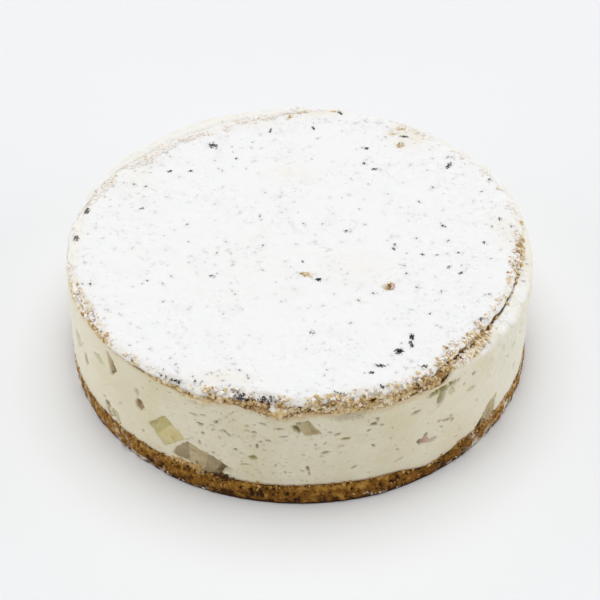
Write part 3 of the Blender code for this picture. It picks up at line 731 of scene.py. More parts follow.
def backPearFaces():
    draw = random.Random(backPears["seed"])
    mmPerDegree = math.radians(1.0) * cake["radius"]
    faces = []
    angle = backPears["fromAngle"]
    while angle < backPears["toAngle"]:
        size = backPears["sizes"][len(faces) % len(backPears["sizes"])]
        middle = angle + draw.uniform(-4.0, 4.0)
        height = draw.uniform(16.0 + 0.5 * size, 52.0 - 0.55 * size)
        corners = draw.choice((4, 4, 5))
        turn = draw.uniform(0.0, 90.0)
        face = []
        for i in range(corners):
            way = math.radians(turn - 360.0 * i / corners)
            reach = 0.5 * size * draw.uniform(0.72, 1.12)
            face.append((middle + reach * math.cos(way) / mmPerDegree, height + reach * math.sin(way)))
        kind = backPears["kinds"][len(faces) % len(backPears["kinds"])]
        faces.append((0.5 * size + 1.5, tuple(face), kind, 0.4, 0.3, (0.08, 0.1, 0.0)))
        angle += backPears["step"]
    return faces


def flatPlace(angles, heights, middle):
    # the wall laid flat round a middle angle: mm along it, and height
    turned = (np.asarray(angles) - middle + 180.0) % 360.0 - 180.0
    return np.stack(np.broadcast_arrays(np.radians(turned) * cake["radius"], heights), axis=-1)


def tilted(flat, height, tilt):
    # places on the flat wall, turned about its middle at the given height
    right, up = flat[..., 0], flat[..., 1] - height
    return right * math.cos(tilt) + up * math.sin(tilt), up * math.cos(tilt) - right * math.sin(tilt)


def polygonReach(points, corners):
    # distance of points to a closed outline, negative inside it
    best = np.full(points.shape[:-1], 1e9)
    inside = np.zeros(points.shape[:-1], bool)
    for start, end in zip(corners, np.roll(corners, -1, axis=0)):
        edge = end - start
        away = points - start
        share = np.clip((away @ edge) / (edge @ edge), 0.0, 1.0)
        best = np.minimum(best, np.linalg.norm(away - share[..., None] * edge, axis=-1))
        crossing = (start[1] > points[..., 1]) != (end[1] > points[..., 1])
        slope = edge[0] * (points[..., 1] - start[1]) / (edge[1] if edge[1] else 1e-9) + start[0]
        inside ^= crossing & (points[..., 0] < slope)
    return np.where(inside, -best, best)


def wallWander(angles, heights):
    # how far the cream's wall stands out of a true cylinder
    place = onCake(angles, cake["radius"], heights)
    broad = 0.3 * cloud(place, 38.0, 3) + 0.2 * cloud(place, 11.0, 31) - 0.35
    smears = 0.16 * cloud(place, (6.0, 6.0, 1.8), 32) + 0.07 * cloud(place, 2.0, 33)
    turned = (np.asarray(angles, float) + 180.0) % 360.0 - 180.0
    slanted = onCake(turned - 0.55 * heights, cake["radius"], 0.3 * heights)
    strokes = creamShape["smear"] * cloud(slanted, 3.6, 34, 2) * easeStep(36.0, 56.0, np.abs(turned))
    creases = np.exp(-(cloud(slanted, 11.0, 55) / 0.07) ** 2) * easeStep(0.0, 0.4, cloud(place, 15.0, 56))
    creases = creases * easeStep(42.0, 58.0, turned)
    clots = np.clip(cloud(place, (7.0, 7.0, 4.5), 57, 2) + 0.1, 0.0, 1.0) * easeStep(34.0, 46.0, heights)
    clots = clots * easeStep(44.0, 54.0, turned) * easeStep(100.0, 88.0, turned)
    return broad + smears + strokes - 0.5 * creases + 1.1 * clots


def lipTop(angles):
    drop = around(cake["lipDrop"], angles)
    return topSurface(angles, np.full_like(np.asarray(angles, float), 107.0)) - drop


def makeCream(pears):
    angles = columnAngles()
    radius = cake["radius"]
    setback = around(cake["rimSetback"], angles)
    lip = lipShare(angles)
    rim = biscuitRadius(angles)
    floorHeight = baseTop(angles, radius) + 0.1
    under = biscuitUnder(angles, radius)
    rimLine = onCake(angles, radius, 0.0)
    crest = lipTop(angles) * lip + (under + 0.4) * (1.0 - lip)
    crisp = around(creamShape["roundness"], angles)
    roundWide = 0.7 + np.clip(setback * 0.6, 0.0, 3.8) * lip * crisp
    roundHigh = 0.6 + (3.6 + 1.2 * cloud(rimLine, 9.0, 35)) * lip * crisp
    inner = np.minimum(rim + 0.5, radius - roundWide - 0.3)

    heights, spans, hidden = [], [], []
    for span in (0.35, 0.75):
        spans.append(rim * span)
        heights.append(under - 0.4)
        hidden.append(1.0)
    for share in (0.0, 0.5, 1.0):
        spans.append(inner)
        heights.append(under - 0.4 + (crest - under + 0.4) * share)
        hidden.append(1.0 - share)
    for share in np.linspace(0.0, 1.0, 9)[1:]:
        spans.append(inner + (radius - roundWide - inner) * share)
        heights.append(crest + 0.3 * lip * math.sin(math.pi * share))
        hidden.append(0.0)
    for share in np.linspace(0.0, 1.0, 9)[1:]:
        turn = 0.5 * math.pi * share
        spans.append(radius - roundWide * (1.0 - math.sin(turn)))
        heights.append(crest - roundHigh * (1.0 - math.cos(turn)))
        hidden.append(0.0)
    for share in np.linspace(0.0, 1.0, int(creamShape["wallHigh"] / creamShape["rowStep"]))[1:]:
        spans.append(np.full_like(angles, radius))
        heights.append(crest - roundHigh + (floorHeight - crest + roundHigh) * share)
        hidden.append(0.0)
    for span in (radius - 1.4, 0.6 * radius):
        spans.append(np.full_like(angles, span))
        heights.append(floorHeight)
        hidden.append(1.0)

    spans, heights = np.array(spans), np.array(heights)
    shown = 1.0 - np.array(hidden)[:, None] * np.ones_like(angles)
    spin = np.broadcast_to(angles, spans.shape)
    atWall = easeStep(radius - 4.0, radius - 0.5, spans) * shown
    outward = wallWander(spin, heights) * easeStep(radius - 9.0, radius - 0.5, spans) * shown
    outward -= creamShape["foot"] * easeStep(6.0, 0.0, heights - floorHeight) * atWall
    here = onCake(spin, spans, heights)
    onLip = lip * shown * easeStep(rim, rim + 1.5, spans) * easeStep(crest - 6.0, crest - 2.0, heights)
    lumpy = easeStep(30.0, 40.0, angles) * easeStep(110.0, 90.0, angles)
    lumps = (0.4 + 0.9 * lumpy) * cloud(here, 12.0, 36, 2) + 0.4 * cloud(here, 1.8, 37)
    heights = heights + onLip * lumps
    marks = {key: np.zeros_like(spans) for key in ("olive", "brown", "pink", "shade")}
    near = under - heights + 1.3 * cloud(here, (5.0, 5.0, 2.5), 44, 2)
    tan = around(rimLook["smear"], angles) * easeStep(3.6, 0.2, near) * easeStep(-3.0, 0.0, near)
    marks["tan"] = tan * atWall * (1.0 - lip)

    def window(middle, width):
        turned = (angles - middle + 180.0) % 360.0 - 180.0
        return np.nonzero(np.abs(turned) < math.degrees(width / radius))[0]

    def press(columns, share, depth, tints):
        outward[:, columns] -= depth * share
        for key, amount in tints:
            marks[key][:, columns] = np.maximum(marks[key][:, columns], amount * share)

    for angle, height, wide, high, tilt, depth, *tints in creamMarks:
        columns = window(angle, 1.6 * max(wide, high) + 1.0)
        flat = flatPlace(angles[columns][None], heights[:, columns], angle)
        u, v = tilted(flat, height, math.radians(tilt))
        ragged = 0.34 * cloud(np.stack([flat[..., 0] + 7.1 * height, flat[..., 1], u * 0.0], -1), 1.3, 41)
        reach = np.sqrt((u / wide) ** 2 + (v / high) ** 2) + ragged
        share = (1.0 - easeStep(0.4, 1.15, reach)) * atWall[:, columns]
        press(columns, share, depth, zip(("olive", "brown", "pink", "shade"), tints))

    draw = np.random.default_rng(creamShape["pitSeed"])
    made = 0
    while made < creamShape["pitCount"]:
        angle = draw.uniform(-180.0, 180.0)
        if draw.uniform(0.0, 1.3) > around(pitDensity, angle):
            continue
        made += 1
        height = draw.uniform(13.0, 55.0)
        wide = 0.35 + 0.75 * draw.uniform() ** 2.5
        high = max(wide * draw.uniform(0.3, 0.6), 0.28)
        tilt = draw.normal(0.0, 0.3)
        depth = draw.uniform(0.3, 0.8)
        columns = window(angle, wide + 1.0)
        flat = flatPlace(angles[columns][None], heights[:, columns], angle)
        u, v = tilted(flat, height, tilt)
        reach = np.sqrt((u / wide) ** 2 + (v / high) ** 2)
        share = (1.0 - easeStep(0.55, 1.25, reach)) * atWall[:, columns]
        press(columns, share, depth, (("shade", 0.22 * depth), ("olive", 0.1)))

    for _, face, _, sink, leanRight, _ in pears:
        middle = sum(angle for angle, _ in face) / len(face)
        corners = flatPlace([angle for angle, _ in face], [height for _, height in face], middle)
        columns = window(middle, np.abs(corners[:, 0]).max() + 3.0)
        flat = flatPlace(angles[columns][None], heights[:, columns], middle)
        reach = polygonReach(flat, corners)
        seen = np.stack([flat[..., 0], flat[..., 1], flat[..., 0] * 0 + middle], -1)
        smear = 0.55 * cloud(seen, 3.0, 51, 2)
        bed = (1.0 - easeStep(-1.3, 0.15, reach + smear)) * atWall[:, columns]
        floor = -creamShape["pocket"] - sink - abs(leanRight)
        outward[:, columns] += bed * (floor - outward[:, columns])
        halo = 0.08 * (1.0 - easeStep(0.0, 1.2, np.abs(reach))) * atWall[:, columns]
        marks["olive"][:, columns] = np.maximum(marks["olive"][:, columns], halo)

    # painted shade: a brown line along the wall's foot, in the seam where it meets the base
    foot = easeStep(1.4, 0.2, heights - floorHeight + 0.5 * cloud(here, 2.2, 38)) * atWall
    marks["brown"] = np.maximum(marks["brown"], 0.5 * foot)
    marks["pitted"] = around(pitDensity, angles) * atWall
    # painted light: paler at the sides and back
    marks["pale"] = around(creamShape["pale"], angles) * np.ones_like(spans)
    # sugar fallen on the cream beside the biscuit
    veilShare = around(creamShape["veil"], angles) + 0.3 * cloud(here, 8.0, 40)
    spill = easeStep(crest - 6.5, crest - 1.0, heights + 2.6 * cloud(here, 6.0, 39, 2))
    marks["veil"] = lip * shown * spill * easeStep(rim - 1.0, rim + 0.5, spans) * veilShare
    rows = onCake(spin, spans + outward, heights)
    cream = turnedPiece("creamFilling", rows, cake["biscuitUnder"] - 0.4, cake["baseHeight"] + 0.1, marks)
    dress(cream, makeCreamMaterial(), "cream", "cream_layer")


pearKinds = {
    # flesh, towards the peel, its darkest colour (partly its own, partly painted shade where it lies deep),
    # how stringy
    "yellow": ((0.70, 0.60, 0.31), (0.65, 0.52, 0.21), (0.40, 0.34, 0.11), 0.25),
    "grey": ((0.59, 0.48, 0.285), (0.50, 0.395, 0.20), (0.12, 0.065, 0.025), 0.3),
    "green": ((0.68, 0.64, 0.42), (0.58, 0.52, 0.27), (0.30, 0.25, 0.09), 0.3),
    "brown": ((0.46, 0.33, 0.19), (0.34, 0.21, 0.10), (0.14, 0.08, 0.04), 0.3),
    "pink": ((0.66, 0.40, 0.30), (0.60, 0.50, 0.38), (0.20, 0.16, 0.08), 0.3),
}
# Dark places on the pears, partly their own colour and partly painted shade in their recesses: angle,
# height, half width, half height, tilt in degrees, how dark and how deep in mm.
pearStainsAndShade = (
    (-36.2, 29.5, 4.6, 2.6, 55, 0.75, 0.3), (-33, 34, 2.4, 2.6, 0, 0.35, 0),
    (-30.5, 24, 3, 1, -50, 0.3, 0.2), (-25, 22.6, 2.4, 1, -20, 0.35, 0.3),
    (-24.2, 14.4, 0.5, 4, 10, 0.5, 0.5), (-15.4, 16.3, 2.2, 1, 0, 1, 0.8),
    (-20.5, 8.6, 4, 2.4, 10, 0.55, 0.4), (-22.8, 11.6, 1.8, 1.2, 30, 0.3, 0.2),
    (-49.4, 46.5, 1.6, 4.5, 12, 0.75, 0.5), (-50, 42, 1.2, 1.8, 0, 0.7, 0.3),
    (3.9, 44.6, 2.2, 1, -30, 0.35, 0.2), (0.2, 49.6, 1.4, 1, 0, 0.3, 0.2),
    (50.6, 12, 1.2, 3.6, 25, 0.6, 0.4), (53.6, 14, 2.6, 4.6, 10, 0.35, 0.2),
    (-40.6, 36.6, 1.4, 2, 20, 0.8, 0.3), (-71, 33, 1.6, 3, 0, 0.35, 0.2),
    (-51.2, 15.6, 1.4, 1.8, 0, 0.7, 0.3),
)
# Flat facets on them, partly painted darker as shade where they lie back: the pear's number, how dark it
# is, how far it lies back in mm, and its corners (angle, height).
pearFacets = (
    (1, 0.55, 0.25, ((-39, 26), (-33, 39), (-30.6, 34), (-35.4, 23))),
    (2, 0.52, 0.7, ((-32, 17.5), (-27, 29), (-25.9, 23), (-26.4, 12.6), (-29, 12))),
    (2, 0.40, 0.4, ((-21.4, 23), (-19, 27), (-13, 17), (-17, 9), (-22.8, 5))),
    (2, 0.72, 0.9, ((-17.4, 22), (-13, 17), (-17, 11), (-19.4, 12.6))),
    (4, 0.35, 0.4, ((-50.4, 54), (-47, 54), (-47, 38), (-49, 38))),
    (9, 0.22, 0.3, ((2, 53), (8, 50), (5, 41), (3.4, 41))),
    (11, 0.8, 0.6, ((47, 5), (47, 18), (50.8, 16), (51.6, 5))),
)
pearShape = {"edgeRound": 0.3, "outlineStep": 0.5, "rings": 24, "taper": 0.72}


def roundedOutline(corners, step, rounding):
    # the face's outline with its corners cut, as points an even step apart
    points = []
    count = len(corners)
    for i in range(count):
        before, here, after = corners[i - 1], corners[i], corners[(i + 1) % count]
        for other in (before, after):
            edge = other - here
            points.append(here + edge * min(rounding / np.linalg.norm(edge), 0.4))
    closed = np.array(points + points[:1])
    run = np.concatenate([[0.0], np.cumsum(np.linalg.norm(np.diff(closed, axis=0), axis=1))])
    places = np.linspace(0.0, run[-1], max(int(run[-1] / step), 10), endpoint=False)
    return np.stack([np.interp(places, run, closed[:, i]) for i in range(2)], axis=-1)


def makePear(index, depth, face, material, sink, leanRight, dark):
    middle = sum(angle for angle, _ in face) / len(face)
    corners = flatPlace([angle for angle, _ in face], [height for _, height in face], middle)
    outline = roundedOutline(corners, pearShape["outlineStep"], 0.8)
    centre = outline.mean(axis=0)
    seen = np.stack([outline[:, 0], outline[:, 1], np.full(len(outline), 7.0 * index)], -1)
    wobble = cloud(seen, 3.2, 58)
    outline = centre + (outline - centre) * (1.0 + 0.12 * wobble[:, None])
    rings, depths = [], []
    for share in np.linspace(0.1, 1.0, pearShape["rings"]):
        rings.append(centre + (outline - centre) * share)
        depths.append(-pearShape["edgeRound"] * share**10)
    for share in (0.25, 0.6, 1.0):
        rings.append(centre + (outline - centre) * (1.0 - (1.0 - pearShape["taper"]) * share))
        depths.append(-pearShape["edgeRound"] - (depth - pearShape["edgeRound"]) * share)
    rings.append(centre + (outline - centre) * 0.3)
    depths.append(-depth)
    flat = np.array(rings)
    away = np.array(depths)[:, None] * np.ones(len(outline))
    half = np.maximum(np.ptp(outline, axis=0) / 2.0, 0.5)
    u, v = (flat[..., 0] - centre[0]) / half[0], (flat[..., 1] - centre[1]) / half[1]
    angles = middle + np.degrees(flat[..., 0] / cake["radius"])
    wall = onCake(angles, cake["radius"], flat[..., 1])
    grain = 0.22 * cloud(wall, 3.0, 60 + index, 2)
    radius = cake["radius"] + 0.1 - sink - leanRight * u + away + wallWander(angles, flat[..., 1]) + grain
    # how dark each point is: partly the pear's own colour, partly painted shade where it lies deep
    darkAndShade = dark[0] + dark[1] * u + dark[2] * v + 0.25 * cloud(wall, 3.4, 90 + index) * (dark[0] + 0.2)
    for angle, height, wide, high, tilt, amount, dent in pearStainsAndShade:
        right, up = tilted(flatPlace(angles, flat[..., 1], angle), height, math.radians(tilt))
        reach = np.sqrt((right / wide) ** 2 + (up / high) ** 2) + 0.25 * cloud(wall, 2.0, 120 + index)
        share = 1.0 - easeStep(0.45, 1.1, reach)
        darkAndShade = np.maximum(darkAndShade, amount * share)
        radius = radius - dent * share
    for number, amount, back, outer in pearFacets:
        if number == index:
            edge = flatPlace([angle for angle, _ in outer], [height for _, height in outer], middle)
            inside = polygonReach(flatPlace(angles, flat[..., 1], middle), edge)
            inside = inside + 0.3 * cloud(wall, 2.4, 150)
            share = 1.0 - easeStep(-0.35, 0.35, inside)
            darkAndShade = np.maximum(darkAndShade, amount * share * (0.85 + 0.3 * cloud(wall, 3.0, 151)))
            radius = radius - back * share
    rows = onCake(angles, radius, flat[..., 1])
    poles = np.stack([rows[0].mean(axis=0), rows[-1].mean(axis=0)])
    points = np.concatenate([rows.reshape(-1, 3), poles])
    marks = {"darkAndShade": np.clip(np.concatenate([darkAndShade.ravel(), [darkAndShade[0].mean(), darkAndShade[-1].mean()]]), 0.0, 1.0)}
    piece = fillMesh(f"pearPiece{index:02d}", points, tubeFaces(*rows.shape[:2]), marks)
    turnOutward(piece)
    dress(piece, material, "pear", f"pear_{index:02d}")


def turnOutward(piece):
    shell = bmesh.new()
    shell.from_mesh(piece.data)
    bmesh.ops.recalc_face_normals(shell, faces=shell.faces)
    shell.to_mesh(piece.data)
    shell.free()


topShape = {
    "step": 0.5, "bigCrumb": 3.4, "smallCrumb": 1.4, "bigHigh": 1.7, "smallHigh": 0.5,
    "flap": (-4.2, 2.4),  # where it hangs over the cream: angle and half width in degrees
    "smooth": (-23.5, 3.8),  # where it stands out with flatter crumbs
    # cracks in its edge, dark with painted shade: angle and share of the height where each starts and ends,
    # half width in mm
    "cracks": (
        (27.5, 0.2, 37.8, 0.95, 1), (54, 0.4, 66, 0.5, 1.1), (-1, 0.5, 9, 0.3, 0.7),
        (12, 0.45, 18, 0.6, 0.7), (-12, 0.3, -7, 0.15, 0.8), (-27, 0.55, -22, 0.35, 0.6),
        (-21, 0.6, -17, 0.3, 0.7), (-4, 0.1, 4, 0.15, 0.6), (38, 0.5, 44, 0.6, 0.8),
        (-66, 0.3, -58, 0.5, 0.8), (-56, 0.4, -48, 0.5, 0.8), (-46, 0.25, -30, 0.2, 0.5),
    ),
}


def rimRelief(here):
    # the crumbs of the top biscuit, as a height and as the number of the crumb
    farBig, gapBig, tagBig = pebbles(here, topShape["bigCrumb"], 8)
    farSmall, _, tagSmall = pebbles(here, topShape["smallCrumb"], 9)
    relief = topShape["bigHigh"] * (0.5 - farBig) - 0.5 * (gapBig < 0.07)
    relief += topShape["smallHigh"] * (0.5 - farSmall)
    relief += 0.5 * cloud(here, 8.0, 10) + 0.2 * cloud(here, 0.9, 12)
    return relief, 0.6 * tagBig + 0.4 * tagSmall


def whiteCover(angles, share, here):
    # how much sugar lies on the biscuit's edge; share is 0 at its underside and 1 at its top
    above = share - around(rimLook["whiteFrom"], angles) + 0.45 * cloud(here, 3.4, 13, 2)
    return -0.5 + 1.15 * easeStep(-0.15, 0.15, above)


def makeTopBiscuit():
    angles = columnAngles()
    top, low = cake["biscuitTop"], cake["biscuitUnder"]
    edge = [(98.0, top), (106.3, top), (108.2, top - 0.5), (109.4, top - 1.6), (110.0, top - 3.2),
            (110.0, low + 1.2), (109.5, low + 0.3), (108.6, low), (104.0, low)]
    profile = evenProfile(edge, topShape["step"])
    normals = profileNormals(profile)
    rim = biscuitRadius(angles)
    spans = profile[:, :1] / cake["radius"] * rim
    spin = np.broadcast_to(angles, spans.shape)
    share = (profile[:, 1:] - low) / (top - low)
    floorHeight = biscuitUnder(spin, spans)
    heights = floorHeight + (topSurface(spin, spans) - floorHeight) * share
    here = onCake(spin, spans, heights)
    relief, tag = rimRelief(here)
    places = (topShape["flap"], topShape["smooth"])
    flap, smooth = (np.exp(-((spin - middle) / wide) ** 2) for middle, wide in places)
    relief = relief * (1.0 - 0.2 * smooth) * (1.0 - 0.3 * flap)
    zone = 0.55 + 0.45 * easeStep(104.0, 108.5, profile[:, :1])
    zone = zone * easeStep(103.9, 105.0, np.where(share < 0.02, profile[:, :1], 110.0))
    atEdge = easeStep(107.0, 109.5, profile[:, :1])
    bulge = (1.5 * smooth + 2.5 * flap) * easeStep(0.95, 0.3, share) * atEdge
    crack = np.zeros_like(spans)
    degreeWide, edgeHigh = 1.92, 6.0  # mm along the edge in a degree, and mm of its height
    ragged = share * edgeHigh + 0.9 * cloud(here, 3.0, 24)
    for fromAngle, fromShare, toAngle, toShare, wide in topShape["cracks"]:
        start = np.array([fromAngle * degreeWide, fromShare * edgeHigh])
        run = np.array([toAngle * degreeWide, toShare * edgeHigh]) - start
        spot = np.stack([spin * degreeWide, ragged], axis=-1) - start
        along = np.clip(spot @ run / (run @ run), 0.0, 1.0)
        away = np.linalg.norm(spot - along[..., None] * run, axis=-1)
        crack = np.maximum(crack, 1.0 - easeStep(0.4 * wide, wide, away))
    relief = relief - 0.8 * crack
    move = relief * zone - 0.35
    rows = onCake(spin, spans + move * normals[:, :1] + bulge, heights + move * normals[:, 1:])
    broad = cloud(here, 9.0, 11)
    marks = {
        "tone": around(rimLook["tone"], spin) + 0.4 * (tag - 0.5) + 0.15 * broad + 0.1 * smooth,
        # painted shade in the hollows between the crumbs and in the cracks
        "hollowShade": 0.6 * np.clip(0.0 - relief, 0.0, 1.4) + 0.25 * crack,
        "cover": whiteCover(spin, share, here) - 0.6 * crack,
    }
    inner = [(part * rim, topSurface(angles, part * rim)) for part in (0.45, 0.82)]
    outer = [(0.45 * rim, biscuitUnder(angles, 0.45 * rim))]
    topRows = np.array([onCake(angles, span, height) for span, height in inner])
    lowRows = np.array([onCake(angles, span, height) for span, height in outer])
    rows = np.concatenate([topRows, rows, lowRows])
    for key, values in marks.items():
        marks[key] = np.concatenate([np.zeros((2, len(angles))), values, np.zeros((1, len(angles)))])
    piece = turnedPiece("topBiscuit", rows, top, low, marks)
    dress(piece, makeCrumbMaterial("goldenBiscuit"), "golden_biscuit", "top_layer")


baseShape = {
    "step": 0.5, "pore": 2.6, "crumb": 1.3,
    # how far its lower edge stands in under the cream
    "inset": (
        (-180, 0.8), (-95, 1.4), (-76, 1.2), (-64, 1), (-50, 0.7), (-38, 0.2), (-28, -0.5), (18, -0.5),
        (36, 0.4), (50, 0.6), (64, 0.7), (76, 0.4), (92, 0.4), (140, 0.8),
    ),
    # how much cream is smeared over it
    "smear": (
        (-180, 0.05), (-95, 0.2), (-74, 0.34), (-60, 0.33), (-48, 0.25), (-36, 0.08), (-28, -0.42),
        (26, -0.42), (36, 0.22), (48, 0.38), (60, 0.38), (74, 0.28), (95, 0.12), (140, 0.05),
    ),
    # where its lower edge is torn and pale
    "torn": ((-50, 0), (-38, 0.55), (-22, 0.95), (-14, 0), (14, 0), (19, 1), (25, 0.8), (32, 0)),
}


def makeBaseBiscuit():
    angles = columnAngles()
    top = cake["baseHeight"]
    edge = [(105.0, top), (109.0, top), (109.9, top - 0.9), (110.5, 7.0), (110.9, 3.2), (110.9, 1.4),
            (110.2, 0.0), (106.0, 0.0)]
    profile = evenProfile(edge, baseShape["step"])
    normals = profileNormals(profile)
    low = 0.3 + 0.7 * easeStep(10.0, 5.0, profile[:, 1:])
    spans = profile[:, :1] - around(baseShape["inset"], angles) * low * (profile[:, :1] > 107.0)
    spin = np.broadcast_to(angles, spans.shape)
    heights = profile[:, 1:] / top * baseTop(spin, spans)
    here = onCake(spin, spans, heights)
    farPore, _, tagPore = pebbles(here, baseShape["pore"], 14)
    farCrumb, gapCrumb, tagCrumb = pebbles(here, baseShape["crumb"], 15)
    pores = np.clip(0.44 - farPore, 0.0, 1.0) * (tagPore > 0.62) * 3.0
    streaks = cloud(here, (2.4, 2.4, 7.0), 20)
    relief = 0.45 * (0.5 - farCrumb) - 0.2 * (gapCrumb < 0.08) - pores
    relief = relief + 0.55 * cloud(here, 7.0, 16, 2) + 0.4 * streaks
    zone = easeStep(105.0, 108.0, profile[:, :1]) * easeStep(0.0, 0.6, heights)
    move = (relief - 0.45) * zone
    rows = onCake(spin, spans + move * normals[:, :1], np.maximum(heights + move * normals[:, 1:], 0.0))
    dusty = easeStep(3.2, 0.8, heights) * easeStep(0.1, 0.5, cloud(here, (9.0, 9.0, 2.0), 18))
    side = easeStep(36.0, 64.0, np.abs((spin + 180.0) % 360.0 - 180.0))
    torn = 0.7 * easeStep(3.8, 1.6, heights) * around(baseShape["torn"], spin)
    smeared = around(baseShape["smear"], spin)
    # paler towards the top: partly its baked colour, partly a painted highlight along the upper edge
    tone = 0.26 + 0.22 * (tagCrumb - 0.5) + 0.24 * cloud(here, (6.0, 6.0, 3.0), 19, 2) + 0.12 * streaks
    tone = tone + 0.14 * side + 0.08 * easeStep(2.0, 5.0, heights) + 0.26 * easeStep(6.2, 9.6, heights)
    marks = {
        "tone": tone,
        # painted shade in the hollows, and the lowest 2 mm darker, partly burnt and partly painted shade
        # where the edge turns under
        "hollowShade": 0.6 * np.clip(-0.1 - relief, 0.0, 1.3) * zone + 0.7 * easeStep(2.2, 0.4, heights),
        "cover": 0.2 * dusty * zone + torn + smeared + 0.3 * cloud(here, (9.0, 9.0, 4.0), 21, 2) * side,
    }
    rows = np.concatenate([
        [onCake(angles, 0.5 * cake["radius"], baseTop(angles, 0.5 * cake["radius"]))],
        rows,
        [onCake(angles, 0.5 * cake["radius"], 0.0)],
    ])
    for key, values in marks.items():
        flat = np.zeros((1, len(angles)))
        marks[key] = np.concatenate([flat, values, flat])
    piece = turnedPiece("baseBiscuit", rows, top, 0.0, marks)
    dress(piece, makeCrumbMaterial("brownBiscuit"), "baked_biscuit", "base_layer")


sugarShape = {
    "grid": 292,  # points along each side of its mesh
    "thick": 1.4,
    # how far inside the biscuit's edge the sugar runs out
    "edgeGap": (
        (-180, 1.8), (-120, 1.6), (-90, 1.2), (-74, 2.8), (-64, 4.2), (-57, 2.4), (-50, 1.4), (-40, 1.2),
        (-30, 1.6), (-24, 0.4), (-18, 2.4), (-14, 5.4), (-7, 4.6), (-2, 1.6), (3, 1.6), (8, 3), (15, 3.6),
        (20, 2.6), (25, 1.6), (32, 2.4), (37, 4.2), (41, 5.6), (46, 3.4), (52, 3.2), (58, 1.6), (64, 0.9),
        (74, 0.9), (80, 1.8), (88, 2.2), (96, 1), (110, 0.2), (160, 0.4),
    ),
    # how ivory its edge is
    "ivoryEdge": ((-120, 0), (-108, 0.9), (-84, 0.9), (-76, 0), (78, 0), (86, 0.5), (98, 0.6), (108, 0)),
    "warm": (  # x, y, half length, half width, amount
        (27, -21, 16, 11, 0.16), (-3, 52, 10, 6, 0.26), (-34, -95, 14, 6, 0.30), (55, 84, 9, 10, 0.60),
        (8, 103, 15, 4, 0.45), (-80, 60, 10, 20, 0.18), (-22, -20, 40, 34, 0.05), (98, 6, 7, 12, 0.30),
        (-40, 96, 26, 8, 0.25),
    ),
}


def sugarReach(angles):
    # where the sugar runs out; at the back left it goes on over the level cream
    rim = biscuitRadius(angles)
    place = onCake(angles, cake["radius"], 0.0)
    reach = rim - around(sugarShape["edgeGap"], angles)
    reach = reach + (cake["radius"] - 3.0 - reach) * levelShare(angles)
    return reach + 0.7 * cloud(place, 8.0, 71) + 0.5 * cloud(place, 3.0, 72)


def levelShare(angles):
    return easeStep(2.6, 1.4, around(cake["lipDrop"], angles)) * lipShare(angles)


def sugarHeight(angles, spans):
    # the top of the sugar; beyond its reach it dives below the crumbs
    here = onCake(angles, spans, 0.0)
    rim, level = biscuitRadius(angles), levelShare(angles)
    inside = sugarReach(angles) - spans + 0.9 * cloud(here, 2.6, 77) + 0.5 * cloud(here, 1.3, 78)
    clumps = 0.26 * cloud(here, 9.0, 74, 2) + 0.18 * cloud(here, 3.2, 75) + 0.13 * cloud(here, 1.5, 76)
    onLip = easeStep(rim - 1.0, rim + 1.6, spans) * level
    thick = sugarShape["thick"] * (1.0 - 0.6 * onLip)
    lift = np.where(inside > 0.0, thick * (1.0 - np.exp(-inside / 1.4)), 0.9 * inside)
    groove = 0.7 * np.exp(-((spans - rim) / 1.1) ** 2) * level
    lowered = around(cake["lipDrop"], angles) * onLip
    bare = topSurface(angles, spans) - lowered - groove
    return bare + np.maximum(lift, -2.2) + clumps * (0.4 + 0.6 * (inside > 1.0))


